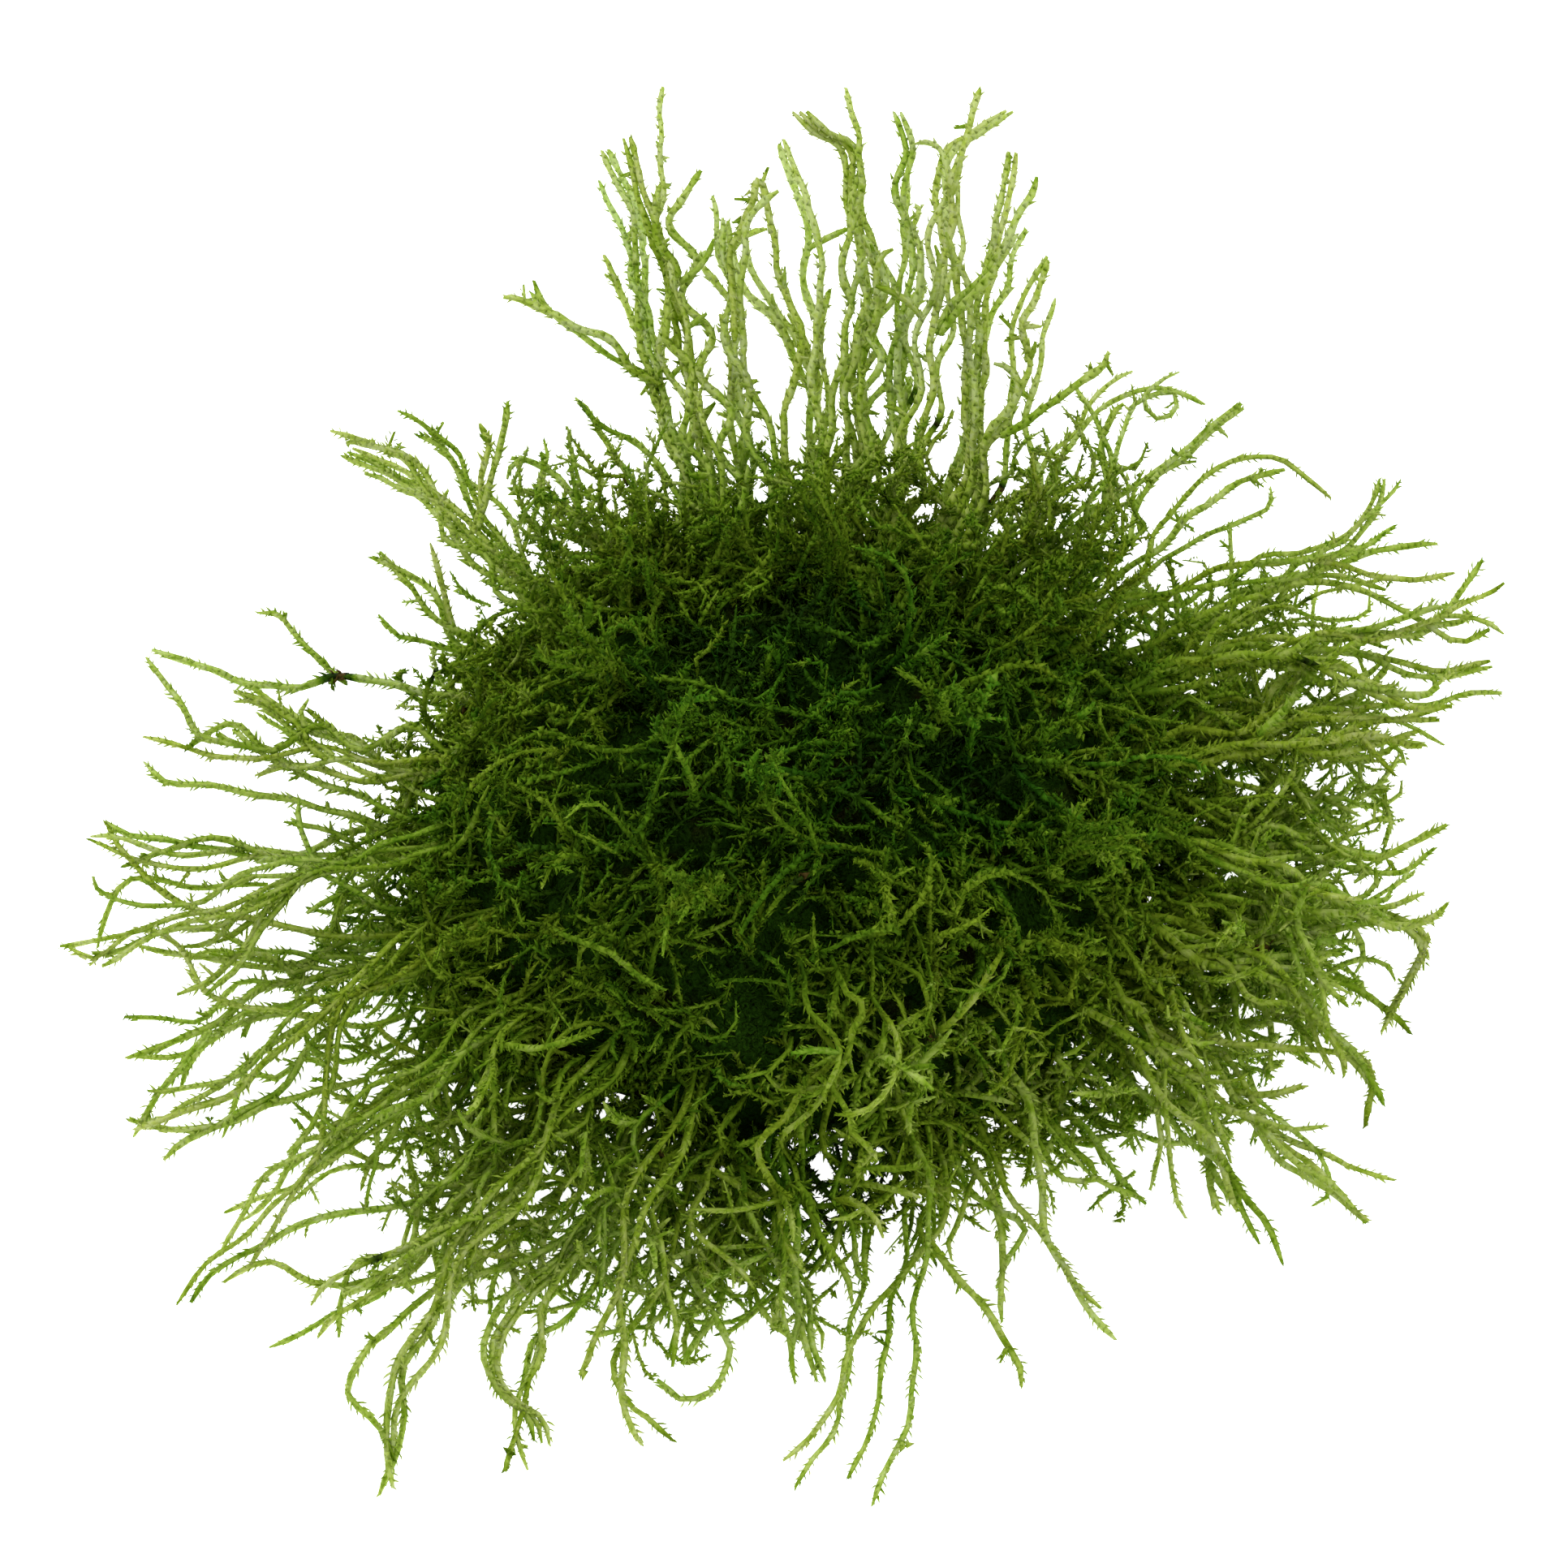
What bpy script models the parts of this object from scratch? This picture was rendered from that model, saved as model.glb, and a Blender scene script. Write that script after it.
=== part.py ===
"""A clump of Taiwan moss, as it is lifted out of its growing cup and set down.

Millimetres in the tables below, metres in the meshes. +Z is up and -Y is the front. The
origin is the middle of the small flat underside that the clump rests on. A dense cushion of
tangled stems carries the long leafy shoots, which leave it all round and curve to free tips.
"""

import math

import bpy
from mathutils import Quaternion, Vector, noise
from mathutils.geometry import interpolate_bezier

MM = 0.001

# The cushion
CUSHION_HALF_WIDTH = 23.5
CUSHION_HALF_DEPTH = 20.5
CUSHION_HEIGHT = 20.0
WIDEST_HEIGHT = 6.0
REST_SHARE = 0.62  # the flat underside, as a share of the widest outline
UNDERSIDE_RINGS = 3
DOME_RINGS = 12
CUSHION_SIDES = 48
DOME_FULLNESS = 0.8  # below 1 the dome's sides stand fuller than a ball's
LUMP_SPACING = 5.0
LUMP_HEIGHT = 2.6
FINE_LUMPS = 2.3  # small lumps to each large one, along a line
FINE_SHARE = 0.5  # their height, as a share of the large ones'
OUTLINE_WAVE = 0.045
OUTLINE_WAVES = ((3, 0.6), (5, 2.1))  # how many go round, and where they start (radians)
CUSHION_ROUGHNESS = 0.8
GAP = 0.6

# The shoots
SHOOT_SIDES = 6
SHOOT_RINGS = 11
TIP_GIRTH = 0.9
TIP_TAPER = 0.75
FLATNESS = 0.72  # a shoot's thickness as a share of its width
LEAF_STEP = 0.13  # how far the whorls of leaves stand out, as a share of the girth
ROOT_DEPTH = 0.66  # where a shoot starts, as a share of the way from the middle to the rim
LEAVING = 0.42  # handle lengths, as shares of the distance from root to tip
ARRIVING = 0.30
RISE_AT_ROOT = 0.12
SHOOT_ROUGHNESS = 0.55
UPRIGHT = 0.99  # a line that climbs more steeply than this has no level side

# The forks
FORK_RINGS = 6
FORK_AT = 0.42  # where the fork leaves, as a share of the shoot's length
FORK_LENGTH = 0.36  # as a share of the distance from root to tip
FORK_GIRTH = 0.62  # as a share of the shoot's girth

# Each shoot: the bearing where it leaves the cushion (degrees from +X, turning left), the
# height of its root, its tip (x, y, z), the bearing its tip points to, its girth, and how far
# its fork turns off (degrees, left is positive, and 0 where it has none).
BACK_SHOOTS = (
    (107, 13.0, (-12, 44, 13), 112, 2.4, 32),
    (102, 16.0, (-8, 47, 18), 84, 2.8, 0),
    (97, 11.0, (-5, 41, 15), 100, 2.6, 0),
    (92, 15.5, (-1, 37, 20), 40, 2.2, 0),
    (88, 10.0, (-1, 46, 14), 108, 2.6, 22),
    (83, 15.0, (3, 46, 19), 100, 3.4, 0),
    (77, 10.0, (7, 45, 15), 84, 3.0, 0),
    (72, 15.5, (11, 45, 20), 72, 2.4, -24),
    (67, 10.0, (14, 41, 12), 66, 3.0, 0),
    (61, 15.0, (15, 36, 15), 74, 2.0, -30),
)
BACK_LEFT_SHOOTS = (
    (117, 12.0, (-13, 28, 12), 136, 2.4, 0),
    (131, 8.0, (-23, 29, 9), 140, 2.4, -36),
    (139, 14.0, (-27, 24, 14), 162, 3.4, -38),
    (149, 7.0, (-25, 20, 7), 158, 3.0, 30),
)
LEFT_SHOOTS = (
    (158, 12.0, (-37, 12, 9), 146, 2.6, -36),
    (165, 6.0, (-31, 9, 7), 128, 2.4, 0),
    (172, 12.0, (-37, 6, 9), 158, 3.2, -30),
    (180, 6.0, (-40, 1, 6), 150, 3.0, 34),
    (188, 11.5, (-41, -6, 6), 186, 3.2, 30),
    (197, 6.0, (-37, -12, 4), 206, 3.2, -30),
    (206, 11.0, (-36, -17, 5), 198, 3.2, 36),
    (215, 5.5, (-31, -21, 3), 202, 2.8, 0),
)
FRONT_LEFT_SHOOTS = (
    (223, 10.5, (-33, -27, 4), 238, 2.8, 0),
    (231, 5.5, (-28, -29, 3), 198, 3.0, 0),
    (239, 10.0, (-21, -37, 3), 286, 3.4, -32),
)
FRONT_SHOOTS = (
    (248, 6.5, (-14, -36, 3), 290, 3.2, -32),
    (256, 10.5, (-8, -35, 4), 306, 3.0, 30),
    (264, 5.0, (-6, -30, 3), 240, 2.6, 0),
    (272, 10.5, (0, -32, 5), 282, 3.4, 34),
    (280, 5.0, (0, -37, 3), 236, 2.6, 0),
    (288, 10.0, (4, -38, 3), 246, 2.4, 36),
)
FRONT_RIGHT_SHOOTS = (
    (297, 5.5, (11, -28, 4), 268, 2.6, -30),
    (305, 10.5, (17, -29, 4), 318, 3.0, 0),
    (313, 5.5, (19, -21, 4), 322, 2.6, 0),
    (321, 11.0, (26, -25, 5), 288, 3.0, -36),
    (329, 5.5, (31, -22, 4), 318, 3.6, -34),
    (337, 11.0, (32, -16, 6), 282, 3.0, 36),
)
RIGHT_SHOOTS = (
    (345, 5.5, (34, -11, 5), 300, 3.2, 0),
    (353, 11.5, (36, -5, 9), 52, 3.6, -34),
    (1, 6.0, (37, 2, 6), 34, 3.0, -30),
    (9, 11.5, (37, 8, 9), 8, 3.0, 32),
    (17, 6.0, (41, 11, 6), 2, 3.6, 34),
    (25, 12.0, (41, 16, 10), 40, 3.4, -32),
    (33, 6.0, (38, 21, 7), 4, 2.8, 0),
)
BACK_RIGHT_SHOOTS = (
    (37, 13.5, (34, 22, 12), 78, 2.6, 0),
    (43, 8.0, (29, 25, 9), 18, 2.4, 0),
    (49, 14.0, (26, 26, 14), 44, 2.6, 34),
    (56, 9.0, (20, 30, 12), 30, 2.4, 0),
)
# Each crown shoot rises from inside the cushion: where its root is (x, y), its tip, the bearing
# of its tip, and its girth.
CROWN_SHOOTS = (
    ((3, 11), (-2, 14, 25), 150, 2.6),
    ((-9, 4), (-13, 1, 24), 220, 2.4),
    ((7, 1), (9, -4, 26), 290, 3.0),
    ((-4, -8), (-6, -14, 22), 250, 2.6),
    ((13, -6), (18, -9, 21), 330, 2.6),
)

CROWN_ROOT_HEIGHT = 12.0
CROWN_RISE_AT_TIP = 0.3
CROWN_ROUGHNESS = 0.5

# What each group is called, and its colour, from the shaded middle to the pale back
SHOOT_GROUPS = (
    ("back", BACK_SHOOTS, (0.33, 0.47, 0.12)),
    ("back_left", BACK_LEFT_SHOOTS, (0.18, 0.32, 0.05)),
    ("left", LEFT_SHOOTS, (0.20, 0.34, 0.05)),
    ("front_left", FRONT_LEFT_SHOOTS, (0.17, 0.31, 0.05)),
    ("front", FRONT_SHOOTS, (0.16, 0.30, 0.05)),
    ("front_right", FRONT_RIGHT_SHOOTS, (0.16, 0.30, 0.04)),
    ("right", RIGHT_SHOOTS, (0.20, 0.34, 0.05)),
    ("back_right", BACK_RIGHT_SHOOTS, (0.20, 0.36, 0.06)),
)
CROWN_COLOUR = (0.10, 0.24, 0.02)
CUSHION_COLOUR = (0.035, 0.085, 0.012)


def clear_scene():
    for obj in list(bpy.data.objects):
        bpy.data.objects.remove(obj)


def moss_material(name, colour, roughness):
    material = bpy.data.materials.new(name)
    material.use_nodes = True
    shader = material.node_tree.nodes["Principled BSDF"]
    shader.inputs["Base Color"].default_value = (*colour, 1.0)
    shader.inputs["Roughness"].default_value = roughness
    shader.inputs["Metallic"].default_value = 0.0
    return material


def add_object(name, points_mm, faces, material):
    mesh = bpy.data.meshes.new(name)
    mesh.from_pydata([point * MM for point in points_mm], [], faces)
    mesh.materials.append(material)
    mesh.update()
    obj = bpy.data.objects.new(name, mesh)
    bpy.context.scene.collection.objects.link(obj)
    return obj


def hide_as_helper(obj):
    obj.hide_render = True
    obj.display_type = "WIRE"


def heading(bearing):
    """The level direction of a bearing in degrees."""
    angle = math.radians(bearing)
    return Vector((math.cos(angle), math.sin(angle), 0.0))


def cushion_profile():
    """(share of the widest outline, height) of each ring, from the flat underside up."""
    for ring in range(UNDERSIDE_RINGS):
        climb = ring / UNDERSIDE_RINGS
        share = REST_SHARE + (1 - REST_SHARE) * math.sin(climb * math.pi / 2)
        yield share, WIDEST_HEIGHT * climb
    for ring in range(DOME_RINGS):
        angle = ring / DOME_RINGS * math.pi / 2
        rise = (CUSHION_HEIGHT - WIDEST_HEIGHT) * math.sin(angle)
        yield math.cos(angle) ** DOME_FULLNESS, WIDEST_HEIGHT + rise


def cushion_point(share, height, angle):
    """A point of the cushion: an oval dome with a wavy outline, raised into lumps."""
    wave = 1 + OUTLINE_WAVE * sum(math.sin(n * angle + start) for n, start in OUTLINE_WAVES)
    flat = Vector(
        (
            CUSHION_HALF_WIDTH * share * wave * math.cos(angle),
            CUSHION_HALF_DEPTH * share * wave * math.sin(angle),
            height,
        )
    )
    if height == 0:
        return flat
    outward = Vector((flat.x, flat.y, height - WIDEST_HEIGHT)).normalized()
    lump = noise.noise(flat / LUMP_SPACING)
    lump += FINE_SHARE * noise.noise(flat * FINE_LUMPS / LUMP_SPACING)
    settled = min(height / WIDEST_HEIGHT, 1.0)
    return flat + outward * LUMP_HEIGHT * settled * lump


def make_cushion(name, material):
    points = []
    faces = []
    for share, height in cushion_profile():
        for side in range(CUSHION_SIDES):
            points.append(cushion_point(share, height, side / CUSHION_SIDES * math.tau))
    rings = len(points) // CUSHION_SIDES
    for ring in range(rings - 1):
        for side in range(CUSHION_SIDES):
            after = (side + 1) % CUSHION_SIDES
            low, high = ring * CUSHION_SIDES, (ring + 1) * CUSHION_SIDES
            faces.append((low + side, low + after, high + after, high + side))
    points.append(cushion_point(0.0, CUSHION_HEIGHT, 0.0))
    top = (rings - 1) * CUSHION_SIDES
    for side in range(CUSHION_SIDES):
        faces.append((top + side, top + (side + 1) % CUSHION_SIDES, len(points) - 1))
    faces.append(tuple(reversed(range(CUSHION_SIDES))))
    return add_object(name, points, faces, material)


def make_envelope(cushion):
    """The cushion grown by the gap, which cuts the root end of each shoot."""
    envelope = cushion.copy()
    envelope.data = cushion.data.copy()
    envelope.name = "cushion_envelope"
    bpy.context.scene.collection.objects.link(envelope)
    normals = [vertex.normal.copy() for vertex in envelope.data.vertices]
    for vertex, normal in zip(envelope.data.vertices, normals):
        vertex.co += normal * GAP * MM
    return envelope


def shoot_line(root, way_out, tip, way_in, rings=SHOOT_RINGS):
    """A smooth line from root to tip, leaving along way_out and arriving along way_in."""
    span = (tip - root).length
    return interpolate_bezier(
        root, root + way_out * span * LEAVING, tip - way_in * span * ARRIVING, tip, rings
    )


def fork_line(line, turn):
    """The line of a fork that leaves a shoot by turn degrees and then runs beside it."""
    leaves = round(FORK_AT * (len(line) - 1))
    along = (line[leaves + 1] - line[leaves]).normalized()
    turned = Quaternion((0, 0, 1), math.radians(turn))
    way_out = turned @ along
    tip = line[leaves] + way_out * (line[-1] - line[0]).length * FORK_LENGTH
    return shoot_line(line[leaves], way_out, tip, along, FORK_RINGS)


def shoot_frames(line):
    """(point, side, up) along a line, carried from ring to ring without twist."""
    tangents = []
    for index, point in enumerate(line):
        ahead = line[min(index + 1, len(line) - 1)]
        behind = line[max(index - 1, 0)]
        tangents.append((ahead - behind).normalized())
    climbs = abs(tangents[0].z) > UPRIGHT
    side = tangents[0].cross(Vector((1, 0, 0)) if climbs else Vector((0, 0, 1))).normalized()
    for index, point in enumerate(line):
        if index:
            side.rotate(tangents[index - 1].rotation_difference(tangents[index]))
        yield point, side.copy(), tangents[index].cross(side)


def make_shoot(name, line, girth, material):
    """A leafy shoot's form: a flattened, tapering stem whose whorls of leaves stand out."""
    points = []
    faces = []
    for ring, (point, side, up) in enumerate(shoot_frames(line)):
        along = ring / (len(line) - 1)
        width = TIP_GIRTH + (girth - TIP_GIRTH) * (1 - along) ** TIP_TAPER
        width *= 1 + LEAF_STEP * (-1) ** ring
        for corner in range(SHOOT_SIDES):
            angle = corner / SHOOT_SIDES * math.tau
            across = side * math.cos(angle) + up * math.sin(angle) * FLATNESS
            points.append(point + across * width / 2)
    for ring in range(len(line) - 1):
        for corner in range(SHOOT_SIDES):
            after = (corner + 1) % SHOOT_SIDES
            low, high = ring * SHOOT_SIDES, (ring + 1) * SHOOT_SIDES
            faces.append((low + corner, low + after, high + after, high + corner))
    faces.append(tuple(reversed(range(SHOOT_SIDES))))
    last = (len(line) - 1) * SHOOT_SIDES
    faces.append(tuple(range(last, last + SHOOT_SIDES)))
    return add_object(name, points, faces, material)


def combine(obj, other, operation):
    """Joins another object to this one, or cuts it away, and hides the other."""
    step = obj.modifiers.new(operation.lower(), "BOOLEAN")
    step.operation = operation
    step.object = other
    step.solver = "EXACT"
    hide_as_helper(other)


def add_fork(shoot, line, girth, material, turn):
    fork = make_shoot(f"{shoot.name}_fork", fork_line(line, turn), girth * FORK_GIRTH, material)
    combine(shoot, fork, "UNION")


def make_side_shoots(envelope):
    for group, shoots, colour in SHOOT_GROUPS:
        material = moss_material(f"moss_{group}", colour, SHOOT_ROUGHNESS)
        for number, (bearing, height, tip, arrival, girth, turn) in enumerate(shoots, 1):
            out = heading(bearing)
            root = Vector(
                (
                    out.x * CUSHION_HALF_WIDTH * ROOT_DEPTH,
                    out.y * CUSHION_HALF_DEPTH * ROOT_DEPTH,
                    height,
                )
            )
            way_out = (out + Vector((0, 0, RISE_AT_ROOT))).normalized()
            line = shoot_line(root, way_out, Vector(tip), heading(arrival))
            shoot = make_shoot(f"{group}_shoot_{number}", line, girth, material)
            if turn:
                add_fork(shoot, line, girth, material, turn)
            combine(shoot, envelope, "DIFFERENCE")


def make_crown_shoots(envelope):
    material = moss_material("moss_crown", CROWN_COLOUR, CROWN_ROUGHNESS)
    for number, (place, tip, arrival, girth) in enumerate(CROWN_SHOOTS, 1):
        root = Vector((*place, CROWN_ROOT_HEIGHT))
        way_in = (heading(arrival) + Vector((0, 0, CROWN_RISE_AT_TIP))).normalized()
        line = shoot_line(root, Vector((0, 0, 1)), Vector(tip), way_in)
        shoot = make_shoot(f"crown_shoot_{number}", line, girth, material)
        combine(shoot, envelope, "DIFFERENCE")


def main():
    clear_scene()
    mat = moss_material("moss_mat", CUSHION_COLOUR, CUSHION_ROUGHNESS)
    cushion = make_cushion("moss_cushion", mat)
    envelope = make_envelope(cushion)
    make_side_shoots(envelope)
    make_crown_shoots(envelope)


main()
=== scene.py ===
import math
import bpy
import numpy as np
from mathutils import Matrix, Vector, noise


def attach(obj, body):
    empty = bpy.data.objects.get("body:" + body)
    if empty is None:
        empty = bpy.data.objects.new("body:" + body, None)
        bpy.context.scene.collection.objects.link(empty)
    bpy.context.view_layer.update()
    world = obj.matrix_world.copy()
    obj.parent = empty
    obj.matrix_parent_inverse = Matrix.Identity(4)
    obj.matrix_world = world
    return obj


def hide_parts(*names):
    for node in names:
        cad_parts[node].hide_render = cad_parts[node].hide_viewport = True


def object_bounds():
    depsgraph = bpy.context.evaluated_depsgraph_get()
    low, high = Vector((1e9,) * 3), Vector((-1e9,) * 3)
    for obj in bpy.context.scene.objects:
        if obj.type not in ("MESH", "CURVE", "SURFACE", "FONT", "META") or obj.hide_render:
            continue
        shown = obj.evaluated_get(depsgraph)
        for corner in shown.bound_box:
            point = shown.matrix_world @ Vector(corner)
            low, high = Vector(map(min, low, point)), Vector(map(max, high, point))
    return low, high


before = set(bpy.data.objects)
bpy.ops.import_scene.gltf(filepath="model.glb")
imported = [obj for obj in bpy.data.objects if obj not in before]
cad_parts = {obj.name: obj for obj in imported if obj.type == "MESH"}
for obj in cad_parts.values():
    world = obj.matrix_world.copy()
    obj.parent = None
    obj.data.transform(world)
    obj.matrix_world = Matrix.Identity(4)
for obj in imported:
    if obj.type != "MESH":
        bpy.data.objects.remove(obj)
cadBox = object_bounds()
mm = 0.001  # lengths below are in millimetres, meshes in metres
up = np.array((0.0, 0.0, 1.0))


def linked(name, data):
    made = bpy.data.objects.new(name, data)
    bpy.context.scene.collection.objects.link(made)
    return made


# Camera
cameraLook = {
    "elevation": 58.0,  # degrees above the table, from the front
    "aim": (0.0, 0.0, 8.0),
    "distance": 220.0,
    "lens": 90.0,
    "sensor": 36.0,
    "clip": (0.01, 10.0),  # metres
    "imageSide": 1932,
    "aimPixel": (980, 1030),  # where the aimed point lies in the image
}


def makeCamera(look):
    data = bpy.data.cameras.new("camera")
    data.lens = look["lens"]
    data.sensor_width = look["sensor"]
    half = look["imageSide"] / 2
    data.shift_x = (half - look["aimPixel"][0]) / look["imageSide"]
    data.shift_y = (look["aimPixel"][1] - half) / look["imageSide"]
    data.clip_start, data.clip_end = look["clip"]
    camera = linked("camera", data)
    tilt = math.radians(look["elevation"])
    back = Vector((0, -math.cos(tilt), math.sin(tilt)))
    camera.location = (Vector(look["aim"]) + back * look["distance"]) * mm
    camera.rotation_euler = (-back).to_track_quat("-Z", "Y").to_euler()
    bpy.context.scene.camera = camera


# Where a pixel of the picture lies, for a given height above the table
def underPixel(pixel, height, look=cameraLook):
    tilt = math.radians(look["elevation"])
    focal = look["lens"] / look["sensor"] * look["imageSide"]
    climb = (look["aimPixel"][1] - pixel[1]) / focal
    lift = height - look["aim"][2]
    rise = lift * math.cos(tilt) + climb * (lift * math.sin(tilt) - look["distance"])
    y = rise / (climb * math.cos(tilt) - math.sin(tilt))
    depth = y * math.cos(tilt) - lift * math.sin(tilt) + look["distance"]
    return np.array(((pixel[0] - look["aimPixel"][0]) * depth / focal, y, height))


# Vector helpers
def unit(vector):
    return vector / max(np.linalg.norm(vector), 1e-9)


def heading(bearing):
    angle = math.radians(bearing)
    return np.array((math.cos(angle), math.sin(angle), 0.0))


def turned(vector, axis, angle):
    cosine, sine = math.cos(angle), math.sin(angle)
    return vector * cosine + np.cross(axis, vector) * sine + axis * np.dot(axis, vector) * (1 - cosine)


def anyWay(rng):
    return unit(rng.normal(size=3))


def acrossFrom(direction, rng):
    return unit(np.cross(direction, anyWay(rng)))


def eitherWay(amount, rng):
    return rng.uniform(*amount) * rng.choice((-1, 1))


def lengthAlong(line):
    steps = np.linalg.norm(np.diff(line, axis=0), axis=1)
    return np.concatenate(([0.0], np.cumsum(steps)))


def fading(ends, share):
    most, less = ends
    return most - less * share


def byStops(stops, share):
    return np.interp(share, *zip(*stops))


def patchesOn(line, size, place=(0, 0, 0)):
    return np.array([noise.noise(Vector(point) / size + Vector(place)) for point in line])


# The cushion that carries the shoots, the same form as its solid
cushion = {
    "halfWidth": 23.5,
    "halfDepth": 20.5,
    "height": 20.0,
    "widestHeight": 6.0,
    "restShare": 0.62,
    "fullness": 0.8,
}
domeRise = cushion["height"] - cushion["widestHeight"]
domeHalf = np.array((cushion["halfWidth"], cushion["halfDepth"], domeRise))
domeCentre = np.array((0, 0, cushion["widestHeight"]))


def cushionShare(height):
    if height < cushion["widestHeight"]:
        climb = max(height, 0) / cushion["widestHeight"]
        return cushion["restShare"] + (1 - cushion["restShare"]) * math.sin(climb * math.pi / 2)
    rise = (height - cushion["widestHeight"]) / domeRise
    return math.cos(math.asin(min(rise, 1.0))) ** cushion["fullness"]


def topHeight(share):
    return domeCentre[2] + domeRise * math.sqrt(1 - share ** (2 / cushion["fullness"]))


def onCushion(bearing, height, share=1.0):
    return heading(bearing) * cushionShare(height) * share * domeHalf + up * height


def cushionOutward(point):
    away = point - domeCentre
    away[2] = max(away[2], 0)
    return unit(away / domeHalf**2)


def ontoCushion(pixel, above, start=0.8, steps=40, stride=0.4):
    # where a pixel of the picture meets the cushion, a little above it
    height = cushion["height"] * start
    for _ in range(steps):
        point = underPixel(pixel, height)
        share = min(np.hypot(*(point[:2] / domeHalf[:2])), 1.0)
        height += stride * (topHeight(share) + above - height)
    return underPixel(pixel, height)


# How far the green skirt of the clump reaches: bearing in degrees, where it stops being closed
# and where it has thinned to single shoots
skirt = (
    (0, 31, 36), (20, 34, 40), (32, 34, 40), (42, 27, 32), (55, 24, 26), (70, 23, 25), (85, 22, 25),
    (100, 23, 24), (112, 24, 25), (122, 25, 26), (132, 26, 27), (142, 25, 26), (150, 24, 24),
    (160, 21, 21), (170, 21, 24), (180, 23, 30), (190, 26, 33), (200, 26, 35), (210, 27, 37),
    (220, 28, 34), (230, 30, 34), (240, 28, 32), (250, 28, 31), (262, 28, 31), (270, 27, 30),
    (280, 24, 27), (290, 22, 23), (300, 22, 23), (310, 23, 24), (320, 27, 30), (330, 28, 32),
    (340, 29, 34), (350, 31, 36), (360, 31, 36),
)
skirtBearings, closedReaches, looseReaches = zip(*skirt)


def closedReach(bearing):
    return np.interp(np.mod(bearing, 360), skirtBearings, closedReaches)


def looseReach(bearing):
    return np.interp(np.mod(bearing, 360), skirtBearings, looseReaches)


def skirtShare(line, least=0.0):
    reach = looseReach(np.degrees(np.arctan2(line[:, 1], line[:, 0])))
    return np.hypot(line[:, 0], line[:, 1]) / np.maximum(reach, least)


# Where the clump is hollow under its front: between which bearings, below which height no shoot
# leaves, and where and how strongly painted shade darkens the shoots round it
hollow = {
    "bearings": (268, 288),
    "below": 8.5,
    "centre": (2.5, -20.0, 3.0),
    "size": 6.0,
    "shade": 0.50,
}


def inHollow(bearing, height):
    low, high = hollow["bearings"]
    return low < bearing % 360 < high and height < hollow["below"]


# A shoot's tone (0 dark to 1 pale) and warmth (0 cool to 1 olive), by how far out it lies as a
# share of the skirt. The tone is painted light: painted shade, darker in the middle and deep down,
# and painted light, paler far out where light comes through
greenLook = {
    # painted shade towards the middle and painted light towards the edge, and a cap on it
    "tone": ((0.3, 0.36), (0.42, 0.46), (0.55, 0.60), (0.75, 0.72), (0.95, 0.75), (1.3, 0.77), (1.8, 0.92)),
    "palest": ((0.5, 0.52), (0.7, 0.64), (0.85, 0.73), (1.0, 0.82), (1.1, 1.0)),
    "warmth": ((0.2, 0.22), (0.6, 0.54), (1.0, 0.68)),
    "leastReach": 26.0,
    # painted shade where a shoot lies below the cushion's face, painted light where it rises above
    "lift": (-0.25, 0.2),  # how deep and how high over the cushion still tells
    "liftShadeAndLight": 0.5,
    "tonePatch": 5.0,
    "tonePatches": 0.18,
    "tonePatchPlace": (9, 0, 0),
    "warmPatch": 8.0,
    "warmPatches": 0.22,
}


def toneOf(line, look=greenLook):
    share = skirtShare(line, look["leastReach"])
    away = line - domeCentre
    away[:, 2] = np.maximum(away[:, 2], 0)
    lift = np.linalg.norm(away / domeHalf, axis=1) - 1
    # painted shade in the hollow under the front
    off = np.linalg.norm(line - hollow["centre"], axis=1) / hollow["size"]
    tone = byStops(look["tone"], share) - hollow["shade"] * np.exp(-(off**2))
    tone += look["tonePatches"] * patchesOn(line, look["tonePatch"], look["tonePatchPlace"])
    return tone + np.where(share < 1, look["liftShadeAndLight"] * np.clip(lift, *look["lift"]), 0)


def warmthOf(line, look=greenLook):
    patches = look["warmPatches"] * patchesOn(line, look["warmPatch"])
    return byStops(look["warmth"], skirtShare(line)) + patches


# A shoot is a line of points with a girth, a tone and a warmth at each
shootLook = {
    "roomBeyondBox": 0.004,  # how far a strand may pass the solids' box, as a share of its side
    "floorClearance": 0.66,
    "fewestPoints": 4,
    "taper": ((0.0, 0.75), (0.12, 1.0), (0.8, 0.95), (1.0, 0.8)),  # girth by the share of its length
    "swell": 0.08,
    "swellSpacing": 2.3,
    "toneScatter": 0.065,
    "warmthScatter": 0.14,
    "tipTone": 0.05,
    "darkest": 0.16,
    # painted shade: a long shoot starts darker, where it lies deep in the clump
    "rootShade": 0.16,  # a long shoot starts darker
    "rootLength": 9.0,
    "rootLong": 20.0,
    "freshLength": (2.0, 5.0),  # fresh leaves towards the tip, cooler as well
    "freshCool": 1.5,
    "budShare": 0.35,  # shoots that end in a dark rounded bud
    "budLength": 1.2,
    "budSwell": 0.3,
    "budShade": 0.22,
    "budDarkest": 0.14,
    "brownShare": 0.04,  # shoots with a brown stretch of old stem
    "brownPlace": (0.05, 0.8),
    "brownLength": (0.4, 1.0),
    "brownTone": (0.01, 0.05),
    "brownPoints": 8,  # only shoots with more points than this have one
    "tipLength": 0.3,
    "tipGirth": 0.45,
}
boxLow, boxHigh = np.array(cadBox[0]) / mm, np.array(cadBox[1]) / mm


def keptInside(line):
    margin = (boxHigh - boxLow) * shootLook["roomBeyondBox"]
    line = line.copy()
    line[:, 2] = np.maximum(line[:, 2], shootLook["floorClearance"])
    outside = np.any((line < boxLow - margin) | (line > boxHigh + margin), axis=1)
    outside[:3] = False
    return line[: int(np.argmax(outside))] if outside.any() else line


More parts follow.
